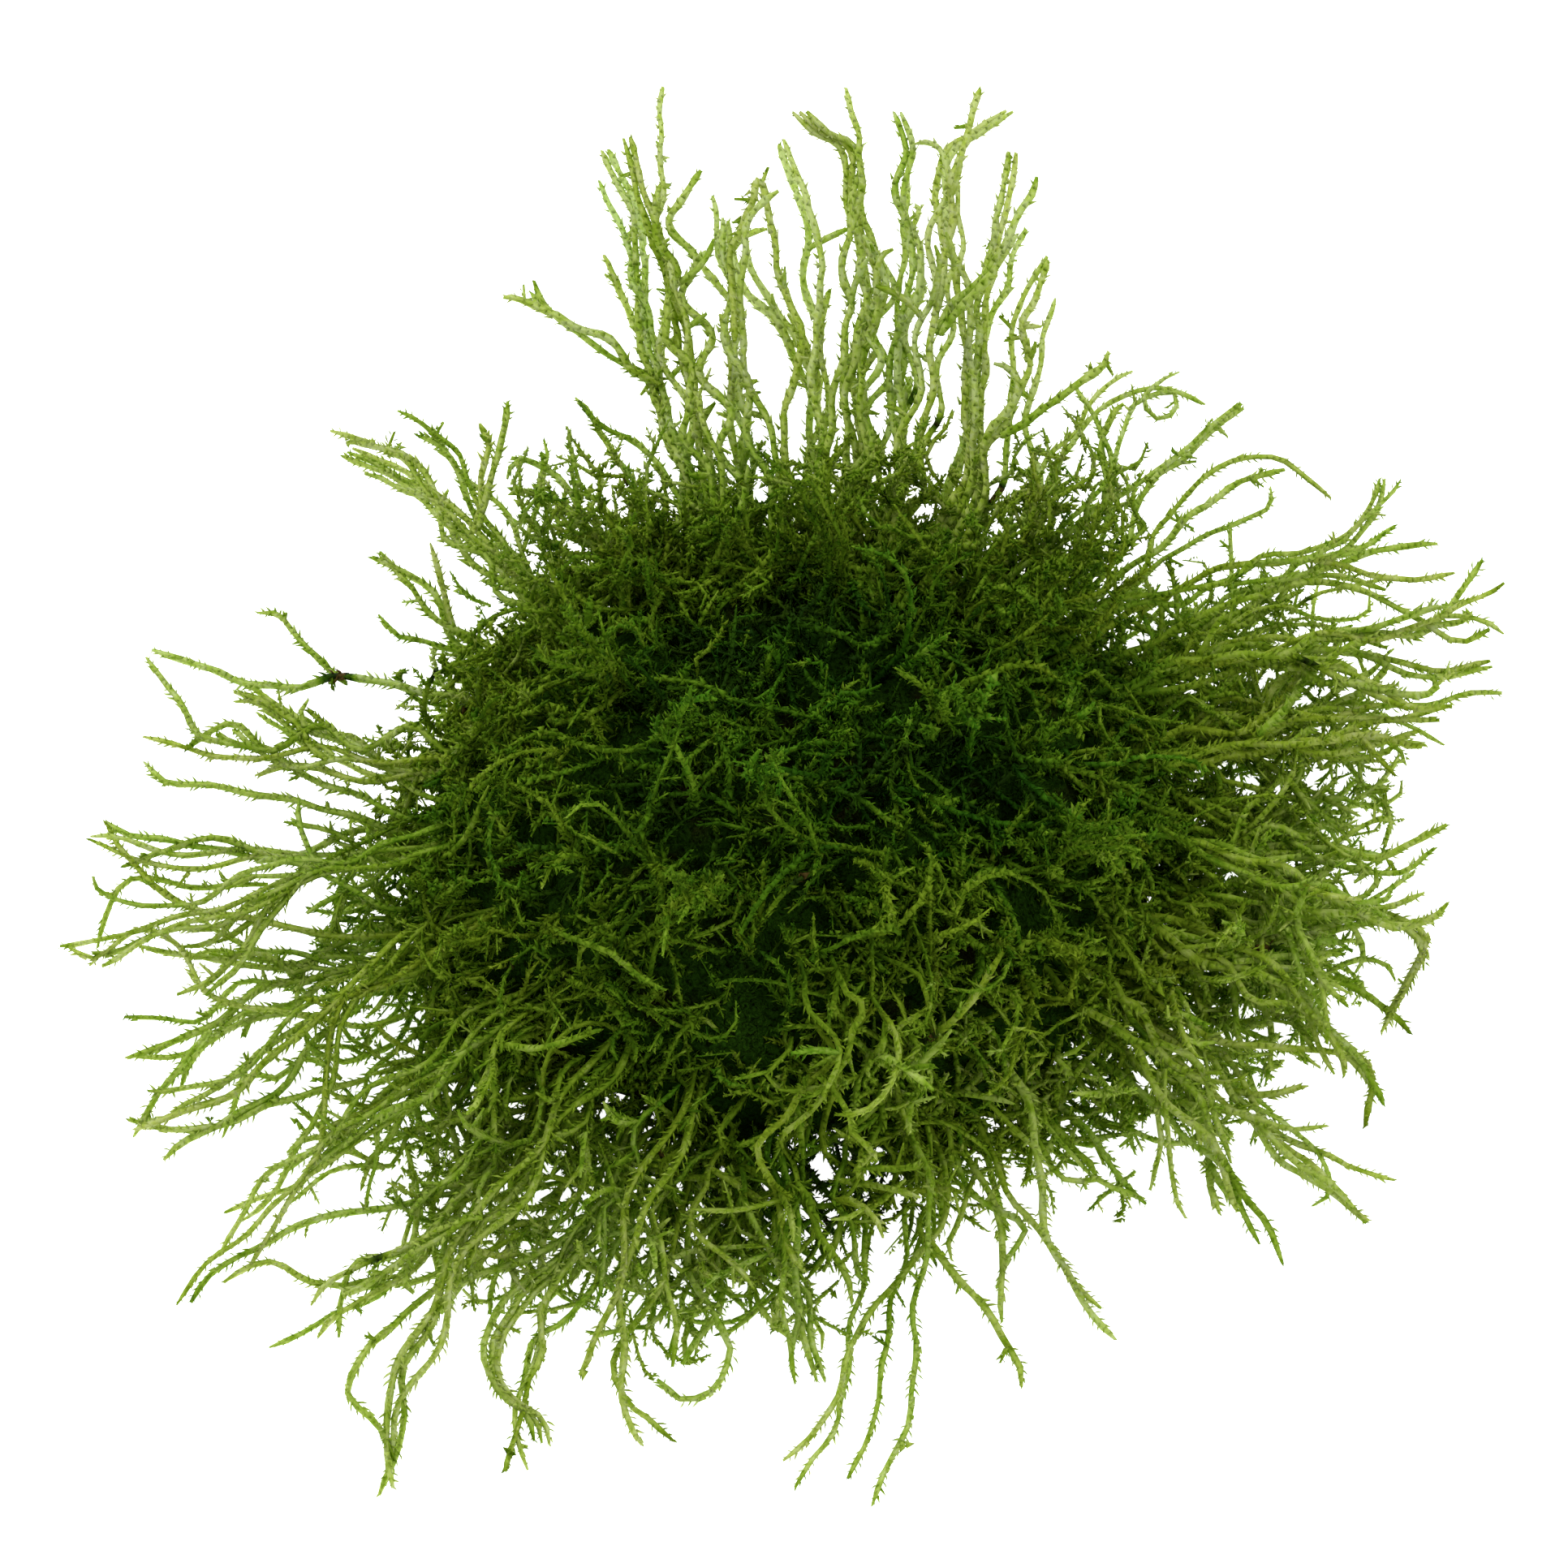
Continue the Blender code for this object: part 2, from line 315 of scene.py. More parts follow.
def addShoot(shoots, line, girth, rng, shift=0.0, bright=0.0, palest=0.88, look=shootLook):
    line = keptInside(line)
    if len(line) < look["fewestPoints"]:
        return None
    along = lengthAlong(line)
    share = along / max(along[-1], 1e-6)
    left = along[-1] - along
    width = girth * byStops(look["taper"], share)
    swell = look["swell"] * np.sin(along / look["swellSpacing"] * math.tau + rng.uniform(0, math.tau))
    # painted shade along the first stretch of a long shoot
    shadedRoot = np.clip(1 - along / look["rootLength"], 0, 1) * min(along[-1] / look["rootLong"], 1.0)
    tone = toneOf(line) + shift + rng.normal(0, look["toneScatter"])
    tone = tone + look["tipTone"] * share**2 - look["rootShade"] * shadedRoot
    tone = np.clip(tone, look["darkest"], np.minimum(palest, byStops(greenLook["palest"], skirtShare(line))))
    if bright:
        tone = tone + bright * np.clip(1 - left / rng.uniform(*look["freshLength"]), 0, 1)
    elif rng.random() < look["budShare"]:
        bud = np.clip(1 - left / look["budLength"], 0, 1)
        width = width * (1 + look["budSwell"] * bud)
        tone = np.maximum(tone - look["budShade"] * bud, look["budDarkest"])
    if rng.random() < look["brownShare"] and len(line) > look["brownPoints"]:
        spot = rng.uniform(*look["brownPlace"]) * along[-1]
        brown = np.abs(along - spot) < rng.uniform(*look["brownLength"])
        tone = np.where(brown, rng.uniform(*look["brownTone"]), tone)
    width = width * np.clip(left / look["tipLength"], look["tipGirth"], 1)
    warmth = warmthOf(line) + rng.normal(0, look["warmthScatter"]) - look["freshCool"] * bright
    shoots.append({
        "line": line, "girth": width * (1 + swell) * mm, "tone": tone, "warmth": np.clip(warmth, 0, 1),
    })
    return line


# Ways that a shoot runs
def shootLine(root, wayOut, tip, wayIn, leaving=0.42, arriving=0.30, pointsPerMm=1.3):
    span = np.linalg.norm(tip - root)
    t = np.linspace(0, 1, max(6, round(span * pointsPerMm)))[:, None]
    first, second = root + wayOut * span * leaving, tip - wayIn * span * arriving
    return root * (1 - t) ** 3 + 3 * first * t * (1 - t) ** 2 + 3 * second * t**2 * (1 - t) + tip * t**3


def throughPoints(points, step=0.75):
    # a smooth line through given points
    points = np.array(points, float)
    ends = np.vstack((2 * points[0] - points[1], points, 2 * points[-1] - points[-2]))
    parts = []
    for a, b, c, d in zip(ends, ends[1:], ends[2:], ends[3:]):
        count = max(2, round(np.linalg.norm(c - b) / step))
        t = np.linspace(0, 1, count, endpoint=False)[:, None]
        parts.append(b + 0.5 * t * (c - a + t * (2 * a - 5 * b + 4 * c - d + t * (3 * (b - c) + d - a))))
    return np.vstack(parts + [points[-1:]])


def waved(line, amount, wavelength, rng, held=True, ripple=(0.4, 0.42), ramp=5):
    # swings to both sides, with a finer ripple on it; a held line keeps its tip where it is
    along = lengthAlong(line)
    share = along / along[-1]
    side = acrossFrom(unit(line[-1] - line[0]), rng)
    other = unit(np.cross(line[-1] - line[0], side))
    shift = np.zeros_like(line)
    for scale, length in ((1.0, wavelength), (ripple[0], wavelength * ripple[1])):
        for across in (side, other):
            swing = along / (length * rng.uniform(0.8, 1.25)) * math.tau + rng.uniform(0, math.tau)
            shift += across * (np.sin(swing) * amount * scale)[:, None]
    window = np.clip(share * ramp, 0, 1)
    if held:
        window = window * np.clip((1 - share) * ramp, 0, 1)
    return line + shift * window[:, None]


def grown(start, direction, length, rng, bend=0.1, wobble=0.10, droop=0.0, hook=0.0, step=0.7):
    # a free shoot: a steady bend about one axis, a little wandering, and a tighter bend at its tip
    direction = unit(direction)
    axis = acrossFrom(direction, rng)
    count = max(4, round(length / step))
    stride = length / count
    points = [start]
    for index in range(count):
        angle = (bend + hook * (index / count) ** 3) * stride
        direction = turned(direction, axis, angle)
        direction = unit(direction + rng.normal(0, wobble, 3) * stride - up * droop * stride)
        points.append(points[-1] + direction * stride)
    return np.array(points)


def wandering(start, way, length, look, rng):
    bend, hook = eitherWay(look["bend"], rng), rng.uniform(0, look["hook"])
    return grown(start, way, length, rng, bend, look["wobble"], look["droop"], hook)


def curled(line, length, rng, bend=0.25, hook=1.3, wobble=0.08, droop=0.02):
    # carries a line on into its own curl
    turn = rng.uniform(-bend, bend)
    curl = grown(line[-1], line[-1] - line[-3], length, rng, turn, wobble, droop, rng.uniform(0, hook))
    return np.vstack((line, curl[1:]))


def freeEnded(line, look, rng):
    body = waved(line, look["wave"], rng.uniform(*look["waveLength"]), rng, held=False)
    return curled(body, rng.uniform(*look["curl"]), rng, look["bend"], look["hook"])


def banded(line, width, rng, strand=0.5, spacing=0.42, wave=(0.14, 8.0)):
    # strands that lie side by side and make one band
    count = 1 if width < 1 else round(width / strand)
    across = unit(np.cross(line[-1] - line[0], up))
    offsets = (np.arange(count) - (count - 1) / 2) * spacing
    return [waved(line + across * offset, *wave, rng) for offset in offsets]


webLook = {
    "holeLength": (5.0, 10.0),
    "beside": 0.4,  # share of a girth
    "opensOver": 6.0,
    "rise": (-0.8, 0.8),
    "length": (0.5, 0.88),
    "curl": (1.0, 3.0),
    "bend": 0.3,
}


def webbed(line, girth, gap, rng, look=webLook):
    # runs along a strand, now touching it and now leaving a long narrow hole
    along = lengthAlong(line)
    across = unit(np.cross(line[-1] - line[0], up)) * rng.choice((-1, 1))
    opening = np.sin(along / rng.uniform(*look["holeLength"]) * math.pi + rng.uniform(0, math.pi)) ** 2
    opened = gap * opening * np.clip(along / look["opensOver"], 0, 1)
    drift = np.outer(look["beside"] * girth + opened, across)
    drift[:, 2] += rng.uniform(*look["rise"]) * opening
    cut = max(6, round(len(line) * rng.uniform(*look["length"])))
    return curled((line + drift)[:cut], rng.uniform(*look["curl"]), rng, look["bend"])


twigKinds = {
    # how far apart along a shoot, how long, how many degrees they turn from it, how much they curl
    "short": {"spacing": 2.1, "length": (0.6, 2.6), "turn": (35, 95), "curl": 0.7, "from": 0.10},
    "long": {"spacing": 4.8, "length": (3.0, 8.0), "turn": (30, 110), "curl": 0.35, "from": 0.08},
    "sparse": {"spacing": 6.5, "length": (0.5, 1.8), "turn": (45, 100), "curl": 0.8, "from": 0.15},
    "cross": {"spacing": 26.0, "length": (2.5, 6.0), "turn": (25, 70), "curl": 0.35, "from": 0.30},
}
twigLook = {
    "shorter": (1.1, 0.5),  # times its length at the root, and how much less at the tip
    "wobble": 0.08,
    "droop": 0.01,
    "girth": (0.75, 0.95),
    "leastGap": 0.4,
}


def branched(shoots, line, girth, rng, kind, shift=0.0, until=0.93):
    if line is None:
        return []
    look = twigKinds[kind]
    along = lengthAlong(line)
    place = along[-1] * look["from"] + rng.exponential(look["spacing"])
    made = []
    while place < along[-1] * until:
        index = min(int(np.searchsorted(along, place)), len(line) - 2)
        tangent = unit(line[index + 1] - line[index])
        way = turned(tangent, acrossFrom(tangent, rng), math.radians(rng.uniform(*look["turn"])))
        length = rng.uniform(*look["length"]) * fading(twigLook["shorter"], place / along[-1])
        bend, hook = rng.uniform(-look["curl"], look["curl"]), rng.uniform(0, look["curl"])
        twig = grown(line[index], way, length, rng, bend, twigLook["wobble"], twigLook["droop"], hook)
        kept = addShoot(shoots, twig, girth * rng.uniform(*twigLook["girth"]), rng, shift)
        if kept is not None:
            made.append(kept)
        place += rng.exponential(look["spacing"]) + twigLook["leastGap"]
    return made


# A tuft of short fat shoots, fresh green and thick with leaves, round a tip
tuftLook = {
    "seed": 32,
    "shoots": (4, 8),
    "spread": 0.8,
    "length": (0.9, 2.2),
    "bend": (0.4, 1.2),
    "step": 0.3,
    "girth": (0.6, 0.95),
    "paler": 0.04,
    "brighter": 0.03,
    "palest": 0.40,
    "above": 7.0,  # only on shoots that end higher than this
    "within": 0.8,  # and no further out than this share of the skirt
}


def addTuft(shoots, line, rng, look, shift):
    for _ in range(rng.integers(*look["shoots"])):
        start = line[-1] + anyWay(rng) * look["spread"] * rng.uniform(0.2, 1.0)
        way = unit(line[-1] - line[-3]) + anyWay(rng)
        bend = eitherWay(look["bend"], rng)
        tuft = grown(start, way, rng.uniform(*look["length"]), rng, bend, step=look["step"])
        width = rng.uniform(*look["girth"])
        addShoot(shoots, tuft, width, rng, shift + look["paler"], look["brighter"], look["palest"])


# Side shoots by the side they leave on. A row gives the bearing where the shoot leaves the
# cushion (degrees from +X), the height of its root, its tip, the bearing that the tip points to,
# its solid's girth, its fork's turn and how many neighbours run along it. The laid ones follow
# single strands of the real clump: their girth, the heights of root and tip, and the pixels of
# the picture that they pass.
sides = {
    "back": {
        "bearings": (57, 112), "slot": "pale_moss", "seed": 11, "girth": 0.82, "paler": 0.07,
        "spread": 2.0, "fill": 14, "felt": 0,
        "rows": (
            (107, 13.0, (-12, 44, 13), 112, 2.4, 32, 2),
            (102, 16.0, (-8, 47, 18), 84, 2.8, 0, 2),
            (97, 11.0, (-5, 41, 15), 100, 2.6, 0, 2),
            (92, 15.5, (-1, 37, 20), 40, 2.2, 0, 1),
            (88, 10.0, (-1, 46, 14), 108, 2.6, 22, 2),
            (83, 15.0, (3, 46, 19), 100, 3.4, 0, 3),
            (77, 10.0, (7, 45, 15), 84, 3.0, 0, 3),
            (72, 15.5, (11, 45, 20), 72, 2.4, -24, 2),
            (67, 10.0, (14, 41, 12), 66, 3.0, 0, 2),
            (61, 15.0, (15, 36, 15), 74, 2.0, -30, 1),
        ),
        "laid": (
            (1.1, 14, 13, ((850, 600), (815, 500), (790, 400), (785, 280), (745, 185))),
            (1.2, 15, 19, ((870, 580), (845, 440), (815, 320), (790, 240), (772, 170))),
            (0.9, 15, 20, ((965, 560), (975, 470), (985, 400), (955, 330), (947, 260), (937, 222),
                        (915, 270), (900, 330), (905, 420))),
            (0.9, 16, 17, ((1010, 560), (1000, 440), (1012, 330), (990, 240), (965, 172))),
            (1.5, 14, 20, ((1060, 580), (1050, 470), (1078, 360), (1052, 250), (1045, 185), (1012, 165),
                        (985, 138))),
            (1.0, 15, 19, ((1110, 590), (1100, 450), (1130, 320), (1105, 240), (1120, 185), (1105, 138))),
            (1.0, 15, 18, ((1190, 590), (1192, 470), (1185, 350), (1160, 280), (1165, 195), (1200, 165),
                        (1244, 137))),
            (1.0, 14, 16, ((1195, 590), (1205, 460), (1215, 340), (1235, 260), (1247, 188))),
            (0.7, 13, 14, ((1270, 620), (1265, 520), (1280, 440), (1300, 368))),
            (0.7, 12, 15, ((1230, 600), (1245, 470), (1253, 380), (1290, 316))),
        ),
    },
    "back_left": {
        "bearings": (112, 153), "slot": "rim_moss", "seed": 12, "girth": 0.84, "paler": 0.0,
        "spread": 2.0, "fill": 26, "felt": 70,
        "rows": (
            (117, 12.0, (-13, 28, 12), 136, 2.4, 0, 0),
            (131, 8.0, (-23, 29, 9), 140, 2.4, -36, 1),
            (139, 14.0, (-27, 24, 14), 162, 3.4, -38, 2),
            (149, 7.0, (-25, 20, 7), 158, 3.0, 30, 1),
        ),
        "laid": (
            (0.7, 10, 9, ((640, 700), (600, 640), (560, 560), (520, 520), (490, 506))),
            (1.4, 9, 8, ((620, 700), (560, 640), (500, 590), (428, 557))),
            (0.9, 12, 12, ((720, 660), (700, 600), (640, 565), (625, 590))),
            (0.8, 12, 13, ((830, 600), (790, 550), (745, 530), (713, 494))),
            (0.9, 8, 7, ((600, 800), (540, 760), (500, 720), (468, 680))),
        ),
    },
    "left": {
        "bearings": (153, 219), "slot": "rim_moss", "seed": 13, "girth": 0.84, "paler": 0.02,
        "spread": 2.4, "fill": 42, "felt": 50,
        "rows": (
            (158, 12.0, (-37, 12, 9), 146, 2.6, -36, 0),
            (165, 6.0, (-31, 9, 7), 128, 2.4, 0, 2),
            (172, 12.0, (-37, 6, 9), 158, 3.2, -30, 3),
            (180, 6.0, (-40, 1, 6), 150, 3.0, 34, 3),
            (188, 11.5, (-41, -6, 6), 186, 3.2, 30, 3),
            (197, 6.0, (-37, -12, 4), 206, 3.2, -30, 3),
            (206, 11.0, (-36, -17, 5), 198, 3.2, 36, 3),
            (215, 5.5, (-31, -21, 3), 202, 2.8, 0, 3),
        ),
        "laid": (
            (0.85, 10, 10, ((600, 1030), (480, 1000), (400, 965), (320, 925), (250, 905), (215, 860),
                        (180, 810))),
            (0.75, 11, 11, ((600, 1010), (525, 980), (450, 930), (385, 900), (370, 880), (380, 862))),
            (0.85, 9, 8, ((560, 1040), (440, 1010), (360, 985), (260, 970), (205, 965), (178, 940))),
            (0.9, 7, 6, ((500, 1120), (400, 1080), (300, 1050), (220, 1040), (160, 1030), (130, 1012))),
            (0.9, 7, 6, ((520, 1150), (400, 1150), (290, 1130), (200, 1100), (150, 1050), (130, 1012))),
            (0.7, 6, 4, ((330, 1090), (240, 1090), (165, 1085), (130, 1130), (120, 1168))),
            (0.7, 7, 5, ((420, 1260), (300, 1240), (250, 1215), (215, 1165), (165, 1145), (120, 1180),
                        (85, 1168))),
            (0.8, 6, 5, ((560, 1190), (440, 1180), (330, 1190), (240, 1180), (170, 1165))),
            (0.9, 6, 4, ((450, 1330), (340, 1360), (260, 1388), (200, 1390), (158, 1380))),
            (0.8, 6, 4, ((260, 1270), (235, 1300), (200, 1340), (165, 1400))),
            (0.75, 6, 4, ((480, 1260), (380, 1250), (290, 1265), (220, 1300), (170, 1303))),
            (0.75, 5, 4, ((420, 1330), (380, 1300), (340, 1330), (300, 1330), (275, 1400))),
            (0.7, 5, 3, ((440, 1420), (380, 1400), (340, 1470), (300, 1503))),
        ),
    },
    "front_left": {
        "bearings": (219, 243), "slot": "rim_moss", "seed": 14, "girth": 0.84, "paler": 0.0,
        "spread": 2.4, "fill": 30, "felt": 50,
        "rows": (
            (223, 10.5, (-33, -27, 4), 238, 2.8, 0, 3),
            (231, 5.5, (-28, -29, 3), 198, 3.0, 0, 3),
            (239, 10.0, (-21, -37, 3), 286, 3.4, -32, 3),
        ),
        "laid": (
            (0.8, 5, 3, ((560, 1470), (450, 1490), (350, 1520), (270, 1560), (235, 1605))),
            (0.8, 4, 3, ((600, 1540), (500, 1585), (400, 1580), (330, 1555), (275, 1580))),
            (0.85, 5, 3, ((640, 1520), (560, 1570), (500, 1615), (455, 1665), (430, 1715), (465, 1755),
                        (487, 1800))),
        ),
    },
    "front": {
        "bearings": (243, 292), "slot": "rim_moss", "seed": 15, "girth": 0.84, "paler": 0.0,
        "spread": 2.4, "fill": 42, "felt": 80,
        "rows": (
            (248, 6.5, (-14, -36, 3), 290, 3.2, -32, 1),
            (256, 10.5, (-8, -35, 4), 306, 3.0, 30, 1),
            (264, 5.0, (-6, -30, 3), 240, 2.6, 0, 1),
            (272, 10.5, (0, -32, 5), 282, 3.4, 34, 1),
            (280, 5.0, (0, -37, 3), 236, 2.6, 0, 0),
            (288, 10.0, (4, -38, 3), 246, 2.4, 36, 0),
        ),
        "laid": (
            (1.3, 5, 3, ((720, 1520), (640, 1600), (605, 1660), (620, 1715), (660, 1745), (668, 1778))),
            (0.8, 5, 3, ((760, 1540), (700, 1620), (660, 1650), (650, 1690), (640, 1720))),
            (0.9, 5, 3, ((830, 1540), (790, 1620), (760, 1680), (775, 1730), (795, 1745), (830, 1775))),
            (0.85, 5, 3, ((850, 1540), (880, 1620), (900, 1670), (880, 1715), (840, 1725), (810, 1700))),
            (1.1, 6, 4, ((960, 1540), (990, 1600), (1000, 1660), (1012, 1702))),
            (0.8, 6, 3, ((1170, 1480), (1110, 1570), (1060, 1640), (1035, 1710), (1000, 1770),
                        (965, 1800))),
            (0.75, 5, 3, ((1150, 1510), (1100, 1590), (1090, 1690), (1078, 1750), (1045, 1822))),
        ),
    },
    "front_right": {
        "bearings": (292, 341), "slot": "rim_moss", "seed": 16, "girth": 0.84, "paler": 0.0,
        "spread": 2.4, "fill": 30, "felt": 65,
        "rows": (
            (297, 5.5, (11, -28, 4), 268, 2.6, -30, 0),
            (305, 10.5, (17, -29, 4), 318, 3.0, 0, 0),
            (313, 5.5, (19, -21, 4), 322, 2.6, 0, 0),
            (321, 11.0, (26, -25, 5), 288, 3.0, -36, 3),
            (329, 5.5, (31, -22, 4), 318, 3.6, -34, 3),
            (337, 11.0, (32, -16, 6), 282, 3.0, 36, 3),
        ),
        "laid": (
            (0.8, 5, 4, ((1200, 1470), (1265, 1510), (1245, 1550), (1228, 1588))),
            (0.8, 6, 4, ((1240, 1460), (1290, 1530), (1325, 1580), (1357, 1612))),
            (0.75, 5, 4, ((1300, 1440), (1350, 1450), (1375, 1465), (1410, 1477))),
            (0.8, 6, 4, ((1440, 1380), (1500, 1430), (1530, 1490), (1552, 1533))),
            (0.9, 6, 5, ((1450, 1350), (1540, 1380), (1600, 1430), (1640, 1460), (1668, 1487))),
            (0.75, 6, 6, ((1450, 1340), (1530, 1370), (1590, 1390), (1635, 1387))),
        ),
    },
    "right": {
        "bearings": (341, 395), "slot": "rim_moss", "seed": 17, "girth": 0.84, "paler": 0.02,
        "spread": 2.6, "fill": 72, "felt": 100,
        "rows": (
            (345, 5.5, (34, -11, 5), 300, 3.2, 0, 4),
            (353, 11.5, (36, -5, 9), 52, 3.6, -34, 4),
            (1, 6.0, (37, 2, 6), 34, 3.0, -30, 4),
            (9, 11.5, (37, 8, 9), 8, 3.0, 32, 4),
            (17, 6.0, (41, 11, 6), 2, 3.6, 34, 4),
            (25, 12.0, (41, 16, 10), 40, 3.4, -32, 4),
            (33, 6.0, (38, 21, 7), 4, 2.8, 0, 3),
        ),
        "laid": (
            (0.9, 7, 5, ((1500, 1280), (1600, 1290), (1670, 1300), (1690, 1330), (1682, 1388))),
            (1.4, 7, 6, ((1480, 1180), (1600, 1150), (1700, 1130), (1755, 1160), (1735, 1210),
                        (1705, 1265))),
            (0.9, 8, 7, ((1500, 1150), (1610, 1130), (1700, 1120), (1755, 1100))),
            (0.8, 8, 7, ((1490, 1060), (1620, 1060), (1720, 1075), (1767, 1045))),
            (0.8, 9, 9, ((1500, 900), (1620, 930), (1700, 915), (1750, 900))),
            (1.0, 10, 8, ((1500, 800), (1640, 800), (1760, 830), (1837, 818))),
            (0.9, 11, 10, ((1480, 760), (1600, 720), (1700, 735), (1790, 790), (1835, 775))),
            (0.9, 12, 10, ((1460, 720), (1580, 690), (1680, 705), (1745, 715), (1792, 706))),
            (0.75, 11, 12, ((1520, 720), (1600, 708), (1650, 680), (1695, 635), (1706, 590))),
        ),
    },
    "back_right": {
        "bearings": (35, 57), "slot": "rim_moss", "seed": 18, "girth": 0.84, "paler": 0.04,
        "spread": 2.4, "fill": 14, "felt": 20,
        "rows": (
            (37, 13.5, (34, 22, 12), 78, 2.6, 0, 1),
            (43, 8.0, (29, 25, 9), 18, 2.4, 0, 0),
            (49, 14.0, (26, 26, 14), 44, 2.6, 34, 0),
            (56, 9.0, (20, 30, 12), 30, 2.4, 0, 1),
        ),
        "laid": (
            (0.75, 13, 13, ((1390, 720), (1430, 650), (1480, 590), (1560, 560), (1610, 590), (1640, 614))),
            (0.8, 14, 14, ((1370, 700), (1400, 620), (1460, 560), (1500, 525), (1532, 503))),
            (0.7, 14, 15, ((1350, 680), (1370, 580), (1400, 500), (1440, 480), (1450, 505), (1425, 515),
                        (1410, 490), (1435, 465), (1453, 458))),
            (0.7, 15, 14, ((1340, 620), (1370, 560), (1345, 510), (1322, 473))),
            (0.7, 10, 10, ((1400, 720), (1480, 660), (1560, 630), (1565, 600))),
        ),
    },
}
solidForm = {"rootDepth": 0.66, "riseAtRoot": 0.12, "forkAt": 0.42, "forkLength": 0.36}


def forkOf(line, turn):
    index = round(solidForm["forkAt"] * (len(line) - 1))
    tangent = unit(line[index + 1] - line[index])
    way = turned(tangent, up, math.radians(turn))
    tip = line[index] + way * np.linalg.norm(line[-1] - line[0]) * solidForm["forkLength"]
    return shootLine(line[index], way, tip, tangent)


# Starts beside a main shoot, keeps to it or drifts from it, and ends in its own curl
neighbourLook = {
    "webbed": 0.45,  # share that runs along it with holes between
    "webGirth": 0.8,
    "webGap": (0.2, 0.7),  # as a share of the spread, like how far the others drift
    "drift": (0.2, 1.0),
    "flatter": 0.6,
    "beside": 0.35,
    "length": (0.5, 0.93),
    "wave": 0.4,
    "waveLength": (8, 14),
    "curl": (1.5, 4.5),
    "bend": 0.35,
    "hook": 2.2,
}


def neighbourOf(line, spread, girth, rng, look=neighbourLook):
    if rng.random() < look["webbed"]:
        return webbed(line, look["webGirth"], spread * rng.uniform(*look["webGap"]), rng)
    cut = max(5, round(len(line) * rng.uniform(*look["length"])))
    share = np.linspace(0, 1, len(line))[:cut, None]
    tangent = unit(line[-1] - line[0])
    away = acrossFrom(tangent, rng)
    away[2] *= look["flatter"]
    near = acrossFrom(tangent, rng) * girth * look["beside"]
    drift = near * (1 - share) + away * rng.uniform(*look["drift"]) * spread * share**2
    return freeEnded(line[:cut] + drift, look, rng)


# Fills the skirt between the main shoots
fillLook = {
    "height": (1.5, 10.5),
    "rootShare": 0.90,
    "aside": 5,  # degrees from where it leaves to where it lands
    "reach": (-0.8, 1.0),  # 0 lands where the skirt stops being closed, 1 where it has thinned out
    "shorter": (0.84, 0.97),
    "tipHeight": 1.2,
    "tipClimb": (0.2, 0.65),
    "wayOut": (22, (0.0, 0.6)),  # how many degrees it strays from its bearing, and how much it rises
    "wayIn": (55, (-0.3, 0.5)),  # and how much it dips
    "ends": (0.5, 0.4),
    "wave": 0.8,
    "waveLength": (6, 11),
    "curl": (2, 5),
    "bend": 0.35,
    "hook": 2.2,
}


def strayed(bearing, way, rng):
    turn, rise = way
    return heading(bearing + rng.normal(0, turn)), up * rng.uniform(*rise)


def fillShoot(bearing, rng, look=fillLook):
    height = rng.uniform(*look["height"])
    if inHollow(bearing, height):
        height += hollow["below"]
    root = onCushion(bearing, height, look["rootShare"])
    landing = bearing + rng.normal(0, look["aside"])
    closed, loose = closedReach(landing), looseReach(landing)
    tip = heading(landing) * (closed + (loose - closed) * rng.uniform(*look["reach"]))
    tip = tip * rng.uniform(*look["shorter"])
    tip[2] = look["tipHeight"] + height * rng.uniform(*look["tipClimb"])
    flat, rise = strayed(bearing, look["wayOut"], rng)
    wayOut = unit(flat + rise)
    flat, dip = strayed(landing, look["wayIn"], rng)
    return freeEnded(shootLine(root, wayOut, tip, unit(flat - dip), *look["ends"]), look, rng)


# Fine short shoots that felt the skirt together between the larger ones
feltLook = {
    "girth": 0.62,
    "girths": (0.8, 1.15),
    "height": (2.0, 8.0),
    "reach": (0.55, 1.02),  # where one starts, as a share of how far the skirt is closed
    "lower": (1.35, 0.7),  # times its height at the middle, and how much less at the edge
    "way": (60, (-0.3, 0.5)),
    "length": (3.0, 8.0),
    "shorter": (1.3, 0.6),
    "bend": (0.1, 0.5),
    "wobble": 0.16,
    "droop": 0.03,
    "hook": 1.2,
    "paler": (0.02, 0.06),  # and its scatter
}


def feltShoots(bearings, count, seed, look=feltLook):
    rng = np.random.default_rng(seed)
    shoots = []
    for _ in range(count):
        bearing, height = rng.uniform(*bearings), rng.uniform(*look["height"])
        out = heading(bearing) * closedReach(bearing)
        share = math.sqrt(rng.uniform(*np.square(look["reach"])))
        start = out * share + up * height * fading(look["lower"], share)
        flat, rise = strayed(bearing, look["way"], rng)
        length = rng.uniform(*look["length"]) * fading(look["shorter"], share)
        line = wandering(start, flat + rise, length, look, rng)
        shift = rng.normal(*look["paler"])
        kept = addShoot(shoots, line, look["girth"] * rng.uniform(*look["girths"]), rng, shift)
        branched(shoots, kept, look["girth"], rng, "short", shift)
    return shoots


# Follows a single strand of the real clump, carried in to the cushion where it starts near it
laidLook = {"near": 27.0, "rootShare": 0.72, "rootLift": 1.0}


def laidShoot(rootHeight, tipHeight, pixels, look=laidLook):
    heights = np.linspace(rootHeight, tipHeight, len(pixels))
    points = [underPixel(pixel, height) for pixel, height in zip(pixels, heights)]
    if np.hypot(*points[0][:2]) < look["near"]:
        bearing = math.degrees(math.atan2(points[0][1], points[0][0]))
        points.insert(0, onCushion(bearing, points[0][2] + look["rootLift"], look["rootShare"]))
    return throughPoints(points)


